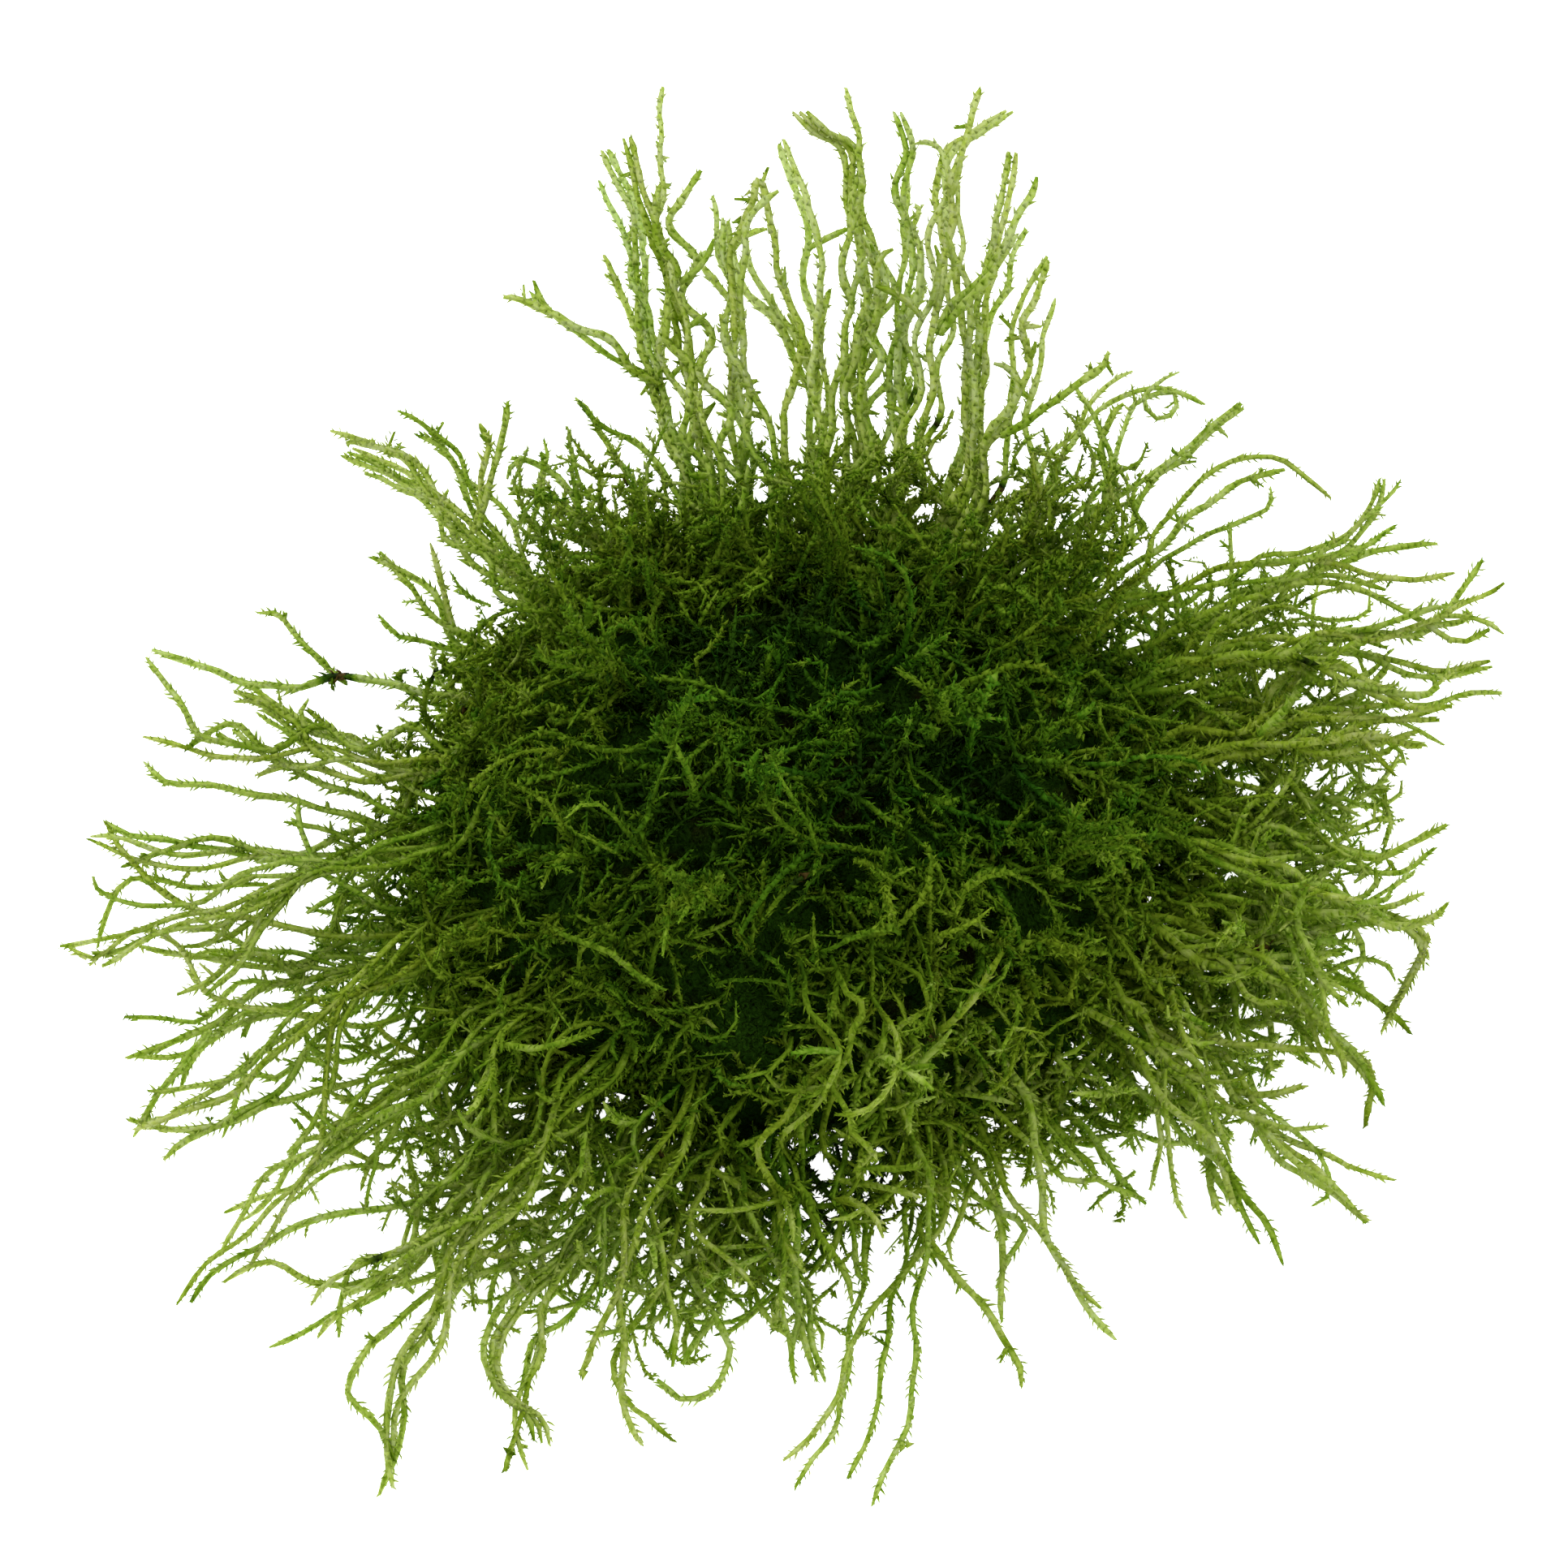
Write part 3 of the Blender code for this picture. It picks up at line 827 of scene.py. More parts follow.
sideLook = {
    "palest": {"pale_moss": 1.0, "rim_moss": 0.88},
    "mainWave": (0.35, 11.0),  # how far it swings, and over what length
    "forkWave": (0.25, 9.0),
    "forkSpread": 0.6,
    "forkGirth": 0.5,
    "girths": (0.8, 1.15),
    "twigGirth": 0.9,
    "laidTwigGirth": 0.85,
    "fillGirths": (0.7, 1.0),
    "fillDarker": 0.03,
    "fillUntil": 0.7,
}


def mainStrands(row, spread, rng):
    bearing, height, tip, arrival, girth, fork, neighbours = row
    root = heading(bearing) * solidForm["rootDepth"] * domeHalf + up * height
    wayOut = unit(heading(bearing) + up * solidForm["riseAtRoot"])
    line = shootLine(root, wayOut, np.array(tip, float), heading(arrival))
    strands = [waved(line, *sideLook["mainWave"], rng)]
    if fork:
        forked = forkOf(line, fork)
        strands.append(waved(forked, *sideLook["forkWave"], rng))
        near, thinner = spread * sideLook["forkSpread"], girth * sideLook["forkGirth"]
        strands += [neighbourOf(forked, near, thinner, rng) for _ in range(neighbours // 2)]
    return strands + [neighbourOf(line, spread, girth, rng) for _ in range(neighbours)]


def sideShoots(look):
    rng = np.random.default_rng(look["seed"])
    shoots = []
    paler, width = look["paler"], look["girth"]
    twig, palest = width * sideLook["twigGirth"], sideLook["palest"][look["slot"]]
    for row in look["rows"]:
        for strand in mainStrands(row, look["spread"], rng):
            girth = width * rng.uniform(*sideLook["girths"])
            kept = addShoot(shoots, strand, girth, rng, paler, palest=palest)
            branched(shoots, kept, twig, rng, "sparse", paler)
            if row[-1] > 1:
                branched(shoots, kept, width, rng, "cross", paler)
    for breadth, rootHeight, tipHeight, pixels in look["laid"]:
        for strand in banded(laidShoot(rootHeight, tipHeight, pixels), breadth, rng):
            kept = addShoot(shoots, strand, min(breadth, width), rng, paler, palest=palest)
            branched(shoots, kept, width * sideLook["laidTwigGirth"], rng, "sparse", paler)
    for _ in range(look["fill"]):
        strand = fillShoot(rng.uniform(*look["bearings"]), rng)
        girth = width * rng.uniform(*sideLook["fillGirths"])
        kept = addShoot(shoots, strand, girth, rng, paler - sideLook["fillDarker"])
        for tangle in branched(shoots, kept, width, rng, "long", paler, sideLook["fillUntil"]):
            branched(shoots, tangle, twig, rng, "short", paler)
        branched(shoots, kept, twig, rng, "short", paler)
    return shoots


# Short curly shoots over the whole cushion
domeLook = {
    "seed": 31,
    "shoots": 885,
    "girth": 0.72,
    "girths": (0.8, 1.15),
    "turn": 137.508,  # degrees from one to the next, so that they lie evenly
    "turnScatter": 5,
    "onTop": 0.64,  # share of them spread over the top, the others stand on the flank
    "topEdge": 0.95,
    "flankHeight": (1.5, 13.0),
    "rootShare": 0.82,
    "rootLow": 0.84,
    "anyWayAbove": 9.0,  # lower ones run more or less downhill
    "aroundDownhill": 1.3,
    "lyingShare": 0.72,
    "lying": {"rise": (0.35, 0.8), "length": (4, 12)},  # in arcs along the surface
    "rising": {"rise": (0.9, 1.6), "length": (2.5, 5.5)},
    "bend": (0.12, 0.45),
    "wobble": 0.18,
    "droop": 0.04,
    "hook": 1.2,
    "outside": (0.88, 0.98),  # how far out they are pushed, as a share of the cushion
    "mounds": 0.10,
    "moundSpacing": 6.5,
    "paler": (-0.01, 0.06),  # and its scatter
    "twigPaler": 0.02,
    "tufted": 0.155,
    "palest": 0.52,
}


def pushedOut(line, share, look):
    # keeps a shoot outside the matted core, over the same mounds and hollows
    away = (line - domeCentre) / domeHalf
    depth = np.linalg.norm(away, axis=1)
    least = share + look["mounds"] * patchesOn(line, look["moundSpacing"])
    inside = depth < least
    inside[:2] = False
    lifted = domeCentre + away / np.maximum(depth, 1e-6)[:, None] * domeHalf * least[:, None]
    return np.where(inside[:, None], lifted, line)


def domeShoot(look, number, rng):
    # the first ones lie evenly over the top as seen from above, the rest stand round the flank
    bearing = number * look["turn"] + rng.uniform(-look["turnScatter"], look["turnScatter"])
    height = rng.uniform(*look["flankHeight"])
    onTop = look["shoots"] * look["onTop"]
    if number < onTop:
        height = topHeight(math.sqrt((number + 0.5) / onTop) * look["topEdge"])
    if inHollow(bearing, height):
        return None
    root = onCushion(bearing, height, look["rootShare"]) * np.array((1, 1, look["rootLow"]))
    normal = cushionOutward(root / look["rootLow"])
    downhill = unit(heading(bearing) - normal * np.dot(heading(bearing), normal))
    free = height > look["anyWayAbove"]
    around = rng.uniform(0, math.tau) if free else rng.normal(0, look["aroundDownhill"])
    along = downhill * math.cos(around) + np.cross(normal, downhill) * math.sin(around)
    kind = look["lying" if rng.random() < look["lyingShare"] else "rising"]
    way = along + normal * rng.uniform(*kind["rise"])
    length = rng.uniform(*kind["length"])
    line = wandering(root, way, length, look, rng)
    return pushedOut(line, rng.uniform(*look["outside"]), look)


# Single arcs that lie over the top of the real clump: the pixels of the picture that they pass
arcLook = {
    "girth": 0.78, "twigGirth": 0.9, "above": 0.9, "step": 0.5, "paler": -0.02,
    "routes": (
        ((912, 1150), (937, 1108), (970, 1071), (1003, 1048), (1037, 1042)),
        ((945, 1125), (966, 1100), (991, 1079), (1024, 1069)),
        ((1032, 1154), (1074, 1154), (1111, 1137), (1140, 1100), (1148, 1063), (1140, 1038)),
        ((1003, 885), (962, 874), (912, 866), (875, 847), (846, 839), (784, 835)),
        ((974, 756), (987, 771), (1012, 775), (1045, 785), (1066, 800), (1086, 785), (1103, 764)),
        ((1049, 715), (1061, 744), (1086, 764)),
        ((1161, 851), (1198, 839), (1236, 824), (1273, 820), (1302, 835)),
        ((1236, 851), (1240, 889), (1252, 930), (1281, 939), (1314, 936)),
        ((1248, 943), (1269, 968), (1302, 992), (1330, 1009)),
        ((763, 1175), (771, 1138), (796, 1113), (809, 1096)),
        ((680, 1146), (721, 1162), (763, 1179), (780, 1200), (821, 1220)),
        ((688, 909), (730, 922), (763, 926), (796, 922)),
        ((1024, 972), (1061, 984), (1086, 1005), (1111, 1017)),
        ((883, 905), (896, 930), (900, 963), (896, 984)),
        ((1178, 1125), (1190, 1096), (1219, 1079), (1260, 1073)),
    ),
}


def arcShoot(pixels, look):
    # its ends dip into the moss
    lifts = look["above"] * np.sin(np.linspace(0.1, 0.9, len(pixels)) * math.pi)
    return throughPoints([ontoCushion(pixel, lift) for pixel, lift in zip(pixels, lifts)], look["step"])


# Shoots that stand up along the back of the top, in front of the pale ones
browLook = {
    "shoots": 180,
    "across": (-16, 19),
    "height": (12, 21),
    "reach": (16.0, 26.0),  # how far back a tip at the reach height would lie
    "reachHeight": 8,
    "lean": 0.62,  # and how much nearer for each mm that it is higher
    "rootHeight": (9, 16),
    "rootShare": 0.85,
    "rootInward": 0.8,
    "riseAtRoot": 3,
    "tipScatter": 0.9,
    "wave": (0.6, 4.0),
    "curl": (0.5, 2.5),
    "bend": 0.6,
    "paler": (0.06, 0.07),  # and its scatter
}


def browShoot(look, rng):
    across, height = rng.uniform(*look["across"]), rng.uniform(*look["height"])
    depth = rng.uniform(*look["reach"]) - look["lean"] * (height - look["reachHeight"])
    bearing = math.degrees(math.atan2(depth, across * look["rootInward"]))
    root = onCushion(bearing, rng.uniform(*look["rootHeight"]), look["rootShare"])
    tip = np.array((across, depth, height))
    wayIn = unit(up + look["tipScatter"] * anyWay(rng))
    line = shootLine(root, unit(tip - root + up * look["riseAtRoot"]), tip, wayIn)
    return curled(waved(line, *look["wave"], rng, held=False), rng.uniform(*look["curl"]), rng, look["bend"])


def partOf(root, backFrom=6):
    return "dome_back" if root[1] > backFrom else "dome_left" if root[0] < 0 else "dome_right"


def domeShoots(look):
    rng, tuftRng = np.random.default_rng(look["seed"]), np.random.default_rng(tuftLook["seed"])
    parts = {name: [] for name in ("dome_back", "dome_left", "dome_right", "dome_tufts")}
    for number in range(look["shoots"]):
        line = domeShoot(look, number, rng)
        if line is None:
            continue
        part = parts[partOf(line[0])]
        shift = rng.normal(*look["paler"])
        width = look["girth"] * rng.uniform(*look["girths"])
        kept = addShoot(part, line, width, rng, shift, palest=look["palest"])
        if kept is None:
            continue
        branched(part, kept, width, rng, "short", shift + look["twigPaler"])
        inside = line[-1][2] > tuftLook["above"] and skirtShare(kept)[-1] < tuftLook["within"]
        if rng.random() < look["tufted"] and inside:
            addTuft(parts["dome_tufts"], kept, tuftRng, tuftLook, shift)
    for pixels in arcLook["routes"]:
        line = arcShoot(pixels, arcLook)
        part, paler, girth = parts[partOf(line[0])], arcLook["paler"], arcLook["girth"]
        kept = addShoot(part, line, girth, rng, paler)
        branched(part, kept, girth * arcLook["twigGirth"], rng, "sparse", paler)
    for _ in range(browLook["shoots"]):
        shift = rng.normal(*browLook["paler"])
        kept = addShoot(parts["dome_back"], browShoot(browLook, rng), look["girth"], rng, shift)
        branched(parts["dome_back"], kept, look["girth"], rng, "short", shift)
    return parts


# The few shoots that rise from the top: root (x, y), tip, the tip's bearing and girth
crownLook = {
    "seed": 41,
    "girth": 0.8,
    "twigGirth": 0.9,
    "rootHeight": 12.0,
    "riseAtTip": 0.3,
    "wave": (0.2, 8.0),
    "neighbours": 4,
    "spread": 2.5,
    "paler": -0.02,
    "palest": 0.50,
    "rows": (
        ((3, 11), (-2, 14, 25), 150, 2.6),
        ((-9, 4), (-13, 1, 24), 220, 2.4),
        ((7, 1), (9, -4, 26), 290, 3.0),
        ((-4, -8), (-6, -14, 22), 250, 2.6),
        ((13, -6), (18, -9, 21), 330, 2.6),
    ),
}


def crownShoots(look):
    rng = np.random.default_rng(look["seed"])
    shoots = []
    for place, tip, arrival, girth in look["rows"]:
        root = np.array((*place, look["rootHeight"]), float)
        wayIn = unit(heading(arrival) + up * look["riseAtTip"])
        line = shootLine(root, up, np.array(tip, float), wayIn)
        strands = [waved(line, *look["wave"], rng)]
        strands += [neighbourOf(line, look["spread"], girth, rng) for _ in range(look["neighbours"])]
        for strand in strands:
            kept = addShoot(shoots, strand, look["girth"], rng, look["paler"], palest=look["palest"])
            branched(shoots, kept, look["girth"] * look["twigGirth"], rng, "short", look["paler"])
    return shoots


def fromHex(text):
    channels = [int(text[i:i + 2], 16) / 255 for i in (1, 3, 5)]
    return [c / 12.92 if c <= 0.04045 else ((c + 0.055) / 1.055) ** 2.4 for c in channels] + [1.0]


def addNode(tree, kind, links=None, stops=(), **settings):
    # links give a socket a node's first output, any other output or a plain value; stops are a
    # ramp's places and colours
    node = tree.nodes.new(kind)
    for name, value in settings.items():
        setattr(node, name, value)
    for socket, source in (links or {}).items():
        if isinstance(source, bpy.types.Node):
            source = source.outputs[0]
        if isinstance(source, bpy.types.NodeSocket):
            tree.links.new(source, node.inputs[socket])
        else:
            node.inputs[socket].default_value = source
    for number, (place, colour) in enumerate(stops):
        marks = node.color_ramp.elements
        mark = marks[number] if number < len(marks) else marks.new(place)
        mark.position, mark.color = place, fromHex(colour)
    return node


# Living moss leaves: blades one cell thick, wet and matt, that glow where light comes through
# them, on old stems that turn brown
leafLook = {
    # old brown stem, then deep green, fresh green and the pale green of light through a leaf
    "cool": (
        (0.00, "#6d5a2a"), (0.04, "#4c421a"), (0.08, "#15300a"), (0.30, "#38700f"), (0.46, "#62a01c"),
        (0.62, "#98c434"), (0.85, "#c6e070"), (1.00, "#d6eaa0"),
    ),
    "warm": (
        (0.00, "#75602e"), (0.04, "#54481c"), (0.08, "#2b3a0c"), (0.30, "#587410"), (0.46, "#8ca420"),
        (0.62, "#aec636"), (0.85, "#d4e07a"), (1.00, "#e0e8a6"),
    ),
    "blotch": 0.6,  # mm across, about one leaf
    "blotchTone": 0.50,  # how far the tone swings over the blotches
    "seeThrough": 0.5,
    "surface": {"IOR": 1.4, "Metallic": 0.0, "Roughness": 0.6, "Specular IOR Level": 0.1},
}


def leafMaterial(look):
    material = bpy.data.materials.new("mossLeaf")
    material.use_nodes = True
    tree = material.node_tree
    tree.nodes.clear()
    tone, warmth = [
        addNode(tree, "ShaderNodeAttribute", attribute_name=name).outputs["Fac"]
        for name in ("tone", "warmth")
    ]
    blotches = addNode(tree, "ShaderNodeTexNoise", {
        "Vector": addNode(tree, "ShaderNodeTexCoord").outputs["Object"],
        "Scale": 1 / (look["blotch"] * mm), "Detail": 3.0, "Roughness": 0.6,
    })
    half = look["blotchTone"] / 2
    swing = addNode(tree, "ShaderNodeMapRange", {
        "Value": blotches, "From Min": 0.3, "From Max": 0.7, "To Min": 1 - half, "To Max": 1 + half,
    })
    mottled = addNode(tree, "ShaderNodeMath", {0: tone, 1: swing}, operation="MULTIPLY")
    cool, warm = [
        addNode(tree, "ShaderNodeValToRGB", {"Fac": mottled}, look[kind]) for kind in ("cool", "warm")
    ]
    colour = addNode(tree, "ShaderNodeMix", {0: warmth, 6: cool, 7: warm}, data_type="RGBA").outputs[2]
    surface = addNode(tree, "ShaderNodeBsdfPrincipled", {"Base Color": colour, **look["surface"]})
    through = addNode(tree, "ShaderNodeBsdfTranslucent", {"Color": colour})
    both = addNode(tree, "ShaderNodeMixShader", {"Fac": look["seeThrough"], 1: surface, 2: through})
    addNode(tree, "ShaderNodeOutputMaterial", {"Surface": both})
    return material


# Matted moss: dead stems, silt and old leaves packed together, matt all over, finely stranded,
# with brown patches; dark partly of its own and partly painted shade, the near-black of the clump's shaded
# depths
matLook = {
    # the near-black end is painted shade of the clump's depths, over the mat's own dark green and brown
    "green": ((0.35, "#060c02"), (0.65, "#22400a")),
    "brown": ((0.35, "#060c02"), (0.65, "#2a2010")),
    "line": "#40601a",
    "strand": 0.45,  # mm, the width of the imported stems
    "hair": 0.22,  # mm between leaf edges, really finer, drawn as coarse as it needs to show
    "patch": 3.0,  # mm
    "surface": {"IOR": 1.4, "Metallic": 0.0, "Roughness": 0.95, "Specular IOR Level": 0.0},
}


def matMaterial(look):
    material = bpy.data.materials.new("mossMat")
    material.use_nodes = True
    tree = material.node_tree
    tree.nodes.clear()
    place = addNode(tree, "ShaderNodeTexCoord").outputs["Object"]
    strands, hairs, patches = [
        addNode(tree, "ShaderNodeTexNoise", {
            "Vector": place, "Scale": 1 / (look[name] * mm), "Detail": detail, "Distortion": distortion,
        })
        for name, detail, distortion in (("strand", 3.0, 2.0), ("hair", 1.0, 1.5), ("patch", 4.0, 0.0))
    ]
    green, brown = [
        addNode(tree, "ShaderNodeValToRGB", {"Fac": strands}, look[kind]) for kind in ("green", "brown")
    ]
    browned = addNode(tree, "ShaderNodeMapRange", {"Value": patches, "From Min": 0.55, "From Max": 0.68})
    ground = addNode(tree, "ShaderNodeMix", {0: browned, 6: green, 7: brown}, data_type="RGBA").outputs[2]
    off = addNode(tree, "ShaderNodeMath", {0: hairs, 1: 0.5}, operation="SUBTRACT")
    off = addNode(tree, "ShaderNodeMath", {0: off}, operation="ABSOLUTE")
    edge = addNode(tree, "ShaderNodeMapRange", {
        "Value": off, "From Min": 0.0, "From Max": 0.035, "To Min": 1.0, "To Max": 0.0,
    })
    seen = addNode(tree, "ShaderNodeMath", {0: edge, 1: strands}, operation="MULTIPLY")
    colour = addNode(tree, "ShaderNodeMix", {
        0: seen, 6: ground, 7: fromHex(look["line"]),
    }, data_type="RGBA").outputs[2]
    surface = addNode(tree, "ShaderNodeBsdfPrincipled", {"Base Color": colour, **look["surface"]})
    addNode(tree, "ShaderNodeOutputMaterial", {"Surface": surface})
    return material


# Leafy shoots from lines, by Geometry Nodes
leafyLook = {
    # spaced along a shoot, and turned on round it; the stem's rings and its radius with the leaves
    # that clasp it, as a share of the girth; how much a leaf's tip is set off from its shoot
    "rim": {
        "Leaf Spacing": 0.20, "Leaf Turn": 168.0, "Stem Step": 0.9, "Stem Share": 0.27, "Knobs": 0.12,
        "Size Scatter": 0.22, "Tone Scatter": 0.10, "Tip Shade": 0.16, "Seed": 5,
        # a leaf on a shoot 1 wide: across, outwards and forwards, the last corner is the tip
        "leaf": ((-0.21, 0.10, -0.04), (0.21, 0.10, -0.04), (0.0, 0.36, 0.14), (0.0, 0.50, 0.46)),
    },
    "pale": {
        "Leaf Spacing": 0.19, "Leaf Turn": 137.5, "Stem Step": 0.6, "Stem Share": 0.34, "Knobs": 0.14,
        "Size Scatter": 0.3, "Tone Scatter": 0.09, "Tip Shade": 0.06, "Seed": 7,
        "leaf": ((-0.18, 0.20, -0.12), (0.18, 0.20, -0.12), (0.0, 0.40, 0.08), (0.0, 0.56, 0.36)),
    },
    "cushion": {
        "Leaf Spacing": 0.17, "Leaf Turn": 137.5, "Stem Step": 1.1, "Stem Share": 0.20, "Knobs": 0.12,
        "Size Scatter": 0.28, "Tone Scatter": 0.16, "Tip Shade": 0.20, "Seed": 6,
        "leaf": ((-0.28, 0.06, -0.04), (0.28, 0.06, -0.04), (0.0, 0.26, 0.16), (0.0, 0.50, 0.48)),
    },
    "tuft": {
        "Leaf Spacing": 0.075, "Leaf Turn": 137.5, "Stem Step": 0.5, "Stem Share": 0.26, "Knobs": 0.15,
        "Size Scatter": 0.3, "Tone Scatter": 0.22, "Tip Shade": 0.10, "Seed": 8,
        "leaf": ((-0.22, 0.16, -0.04), (0.22, 0.16, -0.04), (0.0, 0.36, 0.10), (0.0, 0.54, 0.30)),
    },
}
leafSkew = ((-0.35, -0.1, -0.3), (0.1, 0.1, 0.3))  # the least and most that a leaf lies askew, in radians


def makeLeaf(name, corners):
    mesh = bpy.data.meshes.new(name)
    mesh.from_pydata(corners, [], ((0, 2, 1), (0, 3, 2), (2, 3, 1), (1, 3, 0)))
    for label, values in (("tipward", (0.0, 0.0, 0.3, 1.0)), ("uSide", (-1.0, 1.0, 0.0, 0.0))):
        mesh.attributes.new(label, "FLOAT", "POINT").data.foreach_set("value", values)
    return linked(name, mesh)


def shootTree():
    tree = bpy.data.node_groups.new("leafyShoots", "GeometryNodeTree")
    for name, kind in (
        ("Lines", "Geometry"), ("Leaf", "Object"), ("Moss", "Material"), ("Leaf Spacing", "Float"),
        ("Leaf Turn", "Float"), ("Stem Step", "Float"), ("Stem Share", "Float"), ("Knobs", "Float"),
        ("Size Scatter", "Float"), ("Tone Scatter", "Float"), ("Tip Shade", "Float"), ("Seed", "Int"),
    ):
        tree.interface.new_socket(name, in_out="INPUT", socket_type="NodeSocket" + kind)
    tree.interface.new_socket("Shoots", in_out="OUTPUT", socket_type="NodeSocketGeometry")
    given = addNode(tree, "NodeGroupInput").outputs
    girth, tone, warmth, tipward, uSide = [
        addNode(tree, "GeometryNodeInputNamedAttribute", {"Name": name}, data_type="FLOAT")
        for name in ("girth", "tone", "warmth", "tipward", "uSide")
    ]
    index = addNode(tree, "GeometryNodeInputIndex")
    paleness = addNode(tree, "ShaderNodeMapRange", {
        "Value": tone, "From Min": 0.3, "From Max": 0.55, "To Min": -1.0, "To Max": 1.0,
    })
    sums = {}
    for name, operation, *sources in (
        ("leafTurn", "RADIANS", given["Leaf Turn"]),
        ("turn", "MULTIPLY", index, "leafTurn"),
        ("odd", "MODULO", index, 2.0),
        ("ring", "MULTIPLY", "odd", 0.08),
        ("stem", "MULTIPLY", girth, given["Stem Share"]),
        # a leaf's tip is paler than a dark shoot and darker than a pale one
        ("tip", "MULTIPLY", tipward, given["Tip Shade"]),
        ("shade", "MULTIPLY", "tip", paleness),
        ("light", "SUBTRACT", 1.0, "shade"),
        ("shaded", "MULTIPLY", tone, "light"),
        # a map for the baked copy: tone goes across it, warmth up it
        ("across", "MULTIPLY_ADD", tone, 0.94, 0.03),
        ("warm", "MULTIPLY_ADD", warmth, 0.92, 0.04),
        ("side", "MULTIPLY", uSide, 0.004),
        ("upward", "ADD", "warm", "side"),
    ):
        links = {place: sums[one] if isinstance(one, str) else one for place, one in enumerate(sources)}
        sums[name] = addNode(tree, "ShaderNodeMath", links, operation=operation)
    for name, scatter, base in (
        ("size", "Size Scatter", girth), ("fleck", "Tone Scatter", tone), ("radius", "Knobs", sums["stem"]),
    ):  # the base times a random number near 1
        least = addNode(tree, "ShaderNodeMath", {0: 1.0, 1: given[scatter]}, operation="SUBTRACT")
        most = addNode(tree, "ShaderNodeMath", {0: 1.0, 1: given[scatter]}, operation="ADD")
        ends = {2: least, 3: most, "Seed": given["Seed"]}  # 2 and 3 are for a plain number
        near = addNode(tree, "FunctionNodeRandomValue", ends, data_type="FLOAT").outputs[1]
        sums[name] = addNode(tree, "ShaderNodeMath", {0: base, 1: near}, operation="MULTIPLY")
    store = "GeometryNodeStoreNamedAttribute"
    curve = addNode(tree, "GeometryNodeMeshToCurve", {"Mesh": given["Lines"]})
    curve = addNode(tree, "GeometryNodeCurveSplineType", {"Curve": curve}, spline_type="CATMULL_ROM")
    curve = addNode(tree, "GeometryNodeSetSplineResolution", {"Geometry": curve, "Resolution": 4})

    # leaves, each turned on from the last
    spaced = {"Curve": curve, "Length": given["Leaf Spacing"]}
    spots = addNode(tree, "GeometryNodeCurveToPoints", spaced, mode="LENGTH").outputs
    facing = addNode(tree, "FunctionNodeAxesToRotation", {
        "Primary Axis": spots["Tangent"], "Secondary Axis": spots["Normal"],
    }, primary_axis="Z", secondary_axis="Y")
    skew = addNode(tree, "FunctionNodeRandomValue", {
        "Min": leafSkew[0], "Max": leafSkew[1], "Seed": given["Seed"],
    }, data_type="FLOAT_VECTOR")
    for further in (
        addNode(tree, "FunctionNodeAxisAngleToRotation", {"Axis": (0, 0, 1), "Angle": sums["turn"]}),
        addNode(tree, "FunctionNodeEulerToRotation", {"Euler": skew}),
    ):
        both = {"Rotation": facing, "Rotate By": further}
        facing = addNode(tree, "FunctionNodeRotateRotation", both, rotation_space="LOCAL")
    points = addNode(tree, store, {"Geometry": spots["Points"], "Name": "tone", "Value": sums["fleck"]})
    shape = addNode(tree, "GeometryNodeObjectInfo", {"Object": given["Leaf"]}).outputs["Geometry"]
    leaves = addNode(tree, "GeometryNodeInstanceOnPoints", {
        "Points": points, "Instance": shape, "Rotation": facing, "Scale": sums["size"],
    })
    leaves = addNode(tree, "GeometryNodeRealizeInstances", {"Geometry": leaves})

    # the stem inside them, with every other ring a little set off
    spaced = {"Curve": curve, "Length": given["Stem Step"]}
    stem = addNode(tree, "GeometryNodeResampleCurve", spaced, mode="LENGTH")
    stem = addNode(tree, store, {"Geometry": stem, "Name": "tipward", "Value": sums["ring"]})
    stem = addNode(tree, store, {"Geometry": stem, "Name": "tone", "Value": sums["fleck"]})
    circle = addNode(tree, "GeometryNodeCurvePrimitiveCircle", {"Resolution": 3, "Radius": 1.0})
    circle = addNode(tree, store, {"Geometry": circle, "Name": "uSide", "Value": index})
    stem = addNode(tree, "GeometryNodeCurveToMesh", {
        "Curve": stem, "Profile Curve": circle, "Scale": sums["radius"], "Fill Caps": True,
    })

    shoots = addNode(tree, "GeometryNodeJoinGeometry", {0: leaves})
    tree.links.new(stem.outputs[0], shoots.inputs[0])
    shoots = addNode(tree, "GeometryNodeSetShadeSmooth", {"Geometry": shoots, "Shade Smooth": True})
    shoots = addNode(tree, store, {"Geometry": shoots, "Name": "tone", "Value": sums["shaded"]})
    spot = addNode(tree, "ShaderNodeCombineXYZ", {"X": sums["across"], "Y": sums["upward"]})
    shoots = addNode(tree, store, {
        "Geometry": shoots, "Name": "OFBake", "Value": spot,
    }, data_type="FLOAT2", domain="CORNER")
    shoots = addNode(tree, "GeometryNodeSetMaterial", {"Geometry": shoots, "Material": given["Moss"]})
    addNode(tree, "NodeGroupOutput", {"Shoots": shoots})
    return tree


def linesObject(name, shoots):
    mesh = bpy.data.meshes.new(name)
    points = np.vstack([shoot["line"] for shoot in shoots]) * mm
    lasts = np.cumsum([len(shoot["line"]) for shoot in shoots]) - 1
    edges = [(i, i + 1) for i in np.setdiff1d(np.arange(len(points)), lasts).tolist()]
    mesh.from_pydata(points.tolist(), edges, [])
    for label in ("girth", "tone", "warmth"):
        values = np.concatenate([shoot[label] for shoot in shoots]).astype(np.float32)
        mesh.attributes.new(label, "FLOAT", "POINT").data.foreach_set("value", values)
    return linked(name, mesh)


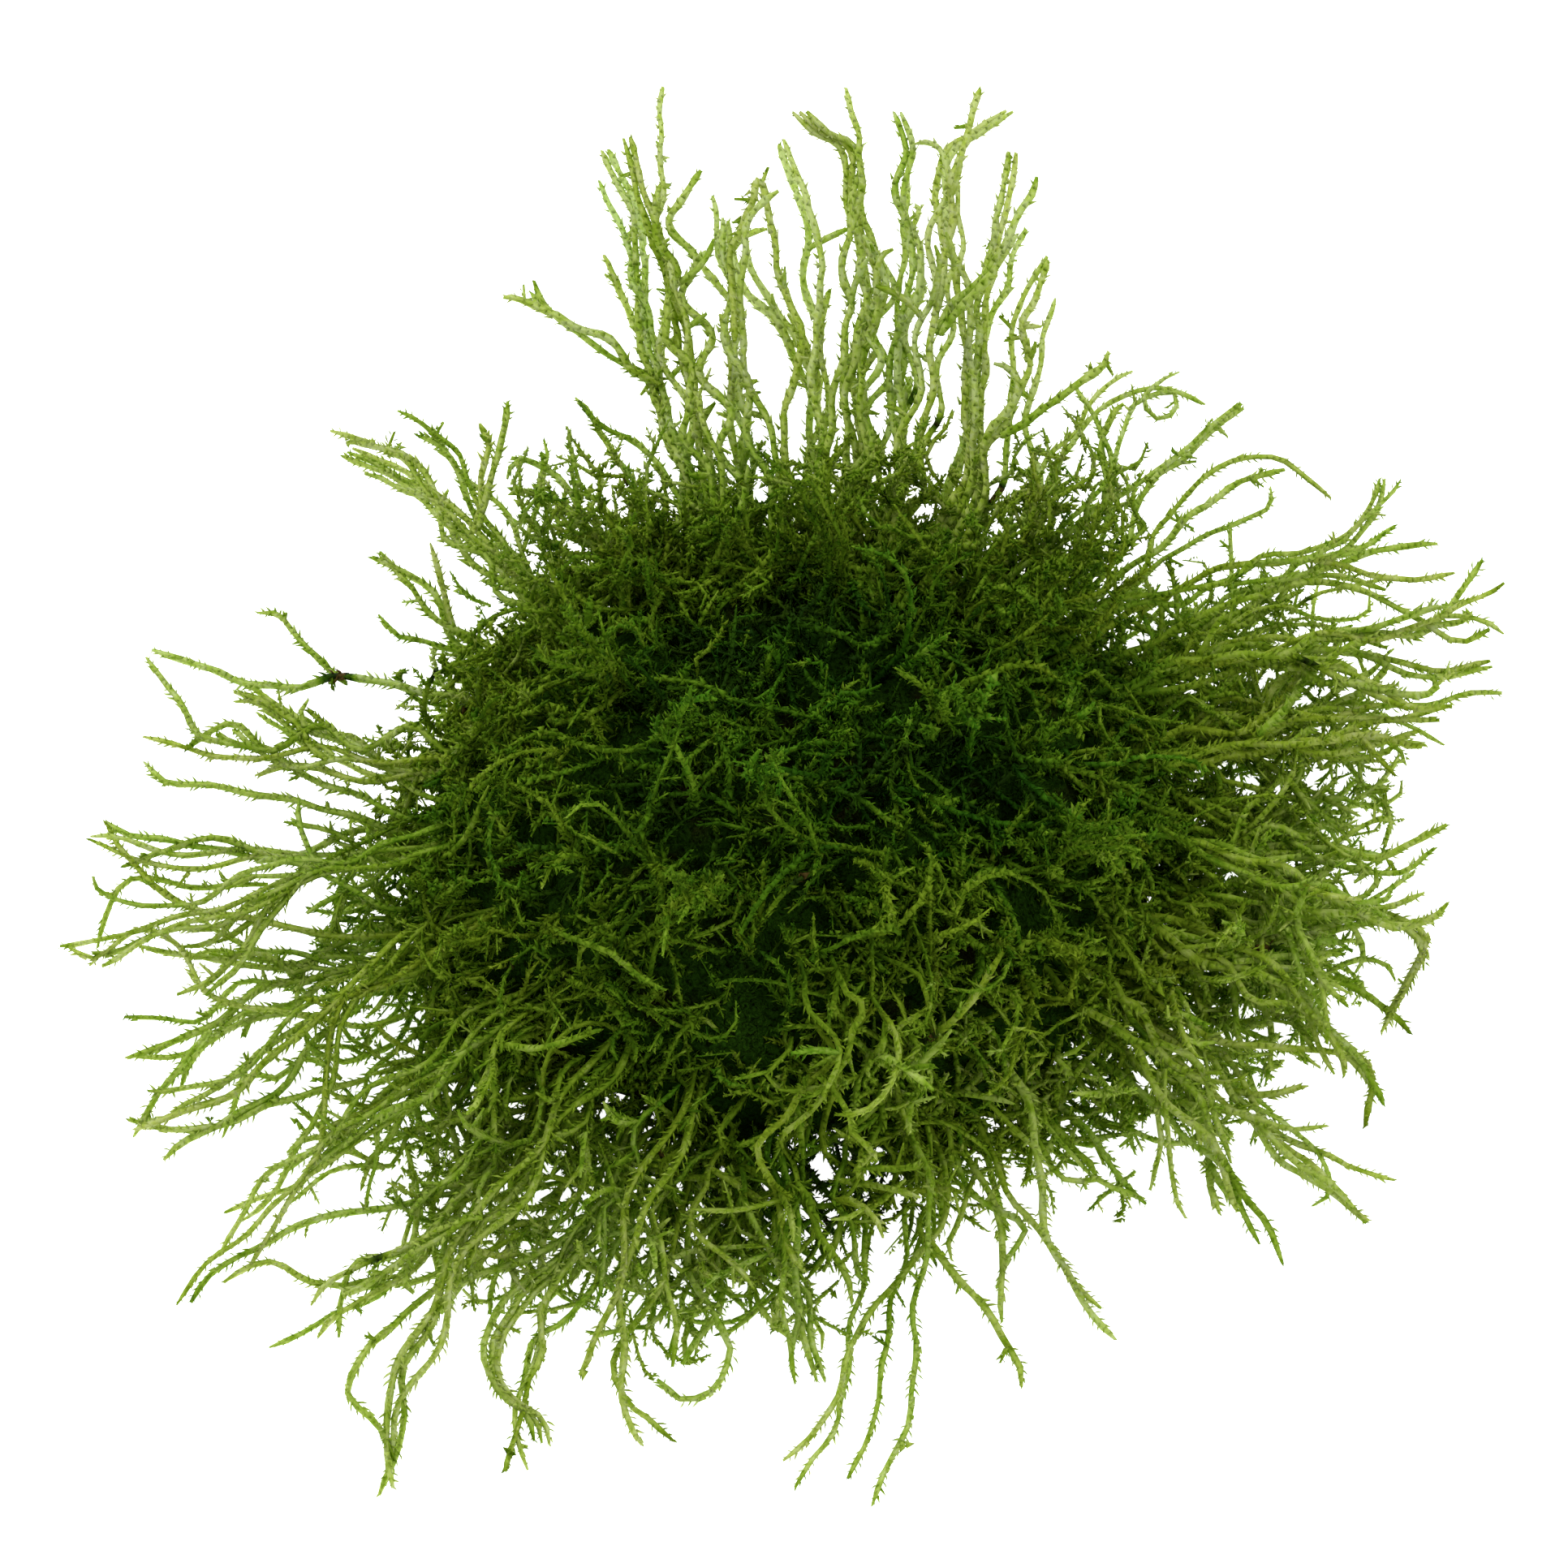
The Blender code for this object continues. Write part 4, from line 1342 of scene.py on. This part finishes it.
def leafyShoots(name, shoots, tree, look, leaf, material):
    lines = linesObject(name + "_lines", shoots)
    modifier = lines.modifiers.new("shoots", "NODES")
    modifier.node_group = tree
    values = {**look, "Leaf": leaf, "Moss": material}
    for label in ("Leaf Spacing", "Stem Step"):
        values[label] *= mm
    for item in tree.interface.items_tree:
        if item.in_out == "INPUT" and item.name in values:
            modifier[item.identifier] = values[item.name]
    graph = bpy.context.evaluated_depsgraph_get()
    mesh = bpy.data.meshes.new_from_object(lines.evaluated_get(graph), depsgraph=graph)
    bpy.data.objects.remove(lines)
    mesh.name = name
    triangles = sum(len(face.vertices) - 2 for face in mesh.polygons)
    print(f"{name}: {len(shoots)} shoots, {triangles} triangles")
    return linked(name, mesh)


# The matted core
coreLook = {
    "share": 0.86,
    "sides": 96,
    "rings": 34,
    "lastRing": 0.985,
    "lump": 1.6,
    "lumpSpacing": 3.2,
    "evenBelow": 3.0,  # the lumps grow from nothing up to this height
}


def mossCore(look, material):
    points = []
    for ring in np.linspace(0, look["lastRing"], look["rings"]):
        height = cushion["height"] * look["share"] * math.sin(ring * math.pi / 2)
        lump = look["lump"] * min(1.0, height / look["evenBelow"])
        for side in range(look["sides"]):
            flat = onCushion(side / look["sides"] * 360, height / look["share"]) * look["share"]
            bump = noise.noise(Vector(flat) / look["lumpSpacing"]) * lump
            points.append((flat + cushionOutward(flat + up * 0.01) * bump) * mm)
    sides = look["sides"]
    top = (look["rings"] - 1) * sides
    faces = [
        (low + side, low + (side + 1) % sides, low + sides + (side + 1) % sides, low + sides + side)
        for low in range(0, top, sides) for side in range(sides)
    ]
    faces += [tuple(reversed(range(sides))), tuple(range(top, top + sides))]
    mesh = bpy.data.meshes.new("moss_core")
    mesh.from_pydata([point.tolist() for point in points], [], faces)
    mesh.materials.append(material)
    mesh.shade_smooth()
    return linked("moss_core", mesh)


# A matt white table top and soft light
studioLook = {
    "floor": "#f4f4f2", "floorSize": 3.0, "roughness": 0.9, "glow": 1.0, "sky": 0.38,
    "lights": {  # place in metres, power, size
        "keyLight": ((-0.25, 0.35, 0.55), 3.3, 0.5),
        "fillLight": ((0.4, -0.3, 0.5), 1.8, 0.5),
    },
}


def makeStudio(look):
    half = look["floorSize"] / 2
    mesh = bpy.data.meshes.new("floor")
    corners = [(x * half, y * half, 0) for x, y in ((-1, -1), (1, -1), (1, 1), (-1, 1))]
    mesh.from_pydata(corners, [], [(0, 1, 2, 3)])
    floor = linked("floor", mesh)
    material = bpy.data.materials.new("paleTable")
    material.use_nodes = True
    shader = material.node_tree.nodes["Principled BSDF"]
    shader.inputs["Base Color"].default_value = fromHex(look["floor"])
    shader.inputs["Roughness"].default_value = look["roughness"]
    shader.inputs["Emission Color"].default_value = (1, 1, 1, 1)
    shader.inputs["Emission Strength"].default_value = look["glow"]
    mesh.materials.append(material)
    world = bpy.data.worlds.new("studio")
    bpy.context.scene.world = world
    world.use_nodes = True
    sky = world.node_tree.nodes["Background"]
    sky.inputs["Color"].default_value = (1, 1, 1, 1)
    sky.inputs["Strength"].default_value = look["sky"]
    for name, (place, power, size) in look["lights"].items():
        data = bpy.data.lights.new(name, "AREA")
        data.energy, data.size = power, size
        light = linked(name, data)
        light.location = place
        light.rotation_euler = (-Vector(place)).to_track_quat("-Z", "Y").to_euler()


makeCamera(cameraLook)
makeStudio(studioLook)
bpy.context.scene.view_settings.view_transform = "Standard"
print("camera, table and light are set")

moss = leafMaterial(leafLook)
tree = shootTree()
leaves = {kind: makeLeaf(kind + "Leaf", look["leaf"]) for kind, look in leafyLook.items()}


def dress(name, shoots, kind, slot, *nodes):
    piece = leafyShoots(name, shoots, tree, leafyLook[kind], leaves[kind], moss)
    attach(piece, "root")
    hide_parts(*nodes)


for side, look in sides.items():
    nodes = [f"{side}_shoot_{number}" for number in range(1, len(look["rows"]) + 1)]
    kind = "pale" if look["slot"] == "pale_moss" else "rim"
    dress(side + "_shoots", sideShoots(look), kind, look["slot"], *nodes)
    if look["felt"]:
        felt = feltShoots(look["bearings"], look["felt"], look["seed"] + 100)
        dress(side + "_felt", felt, "cushion", look["slot"], *nodes)
nodes = [f"crown_shoot_{number}" for number in range(1, len(crownLook["rows"]) + 1)]
dress("crown_shoots", crownShoots(crownLook), "cushion", "crown_moss", *nodes)
for name, shoots in domeShoots(domeLook).items():
    dress(name, shoots, "tuft" if name == "dome_tufts" else "cushion", "cushion_moss", "moss_cushion")
for leaf in leaves.values():
    bpy.data.objects.remove(leaf)

core = mossCore(coreLook, matMaterial(matLook))
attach(core, "root")
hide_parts("moss_cushion")
print("core made")

print("solids' box", [round(value / mm, 1) for corner in cadBox for value in corner])
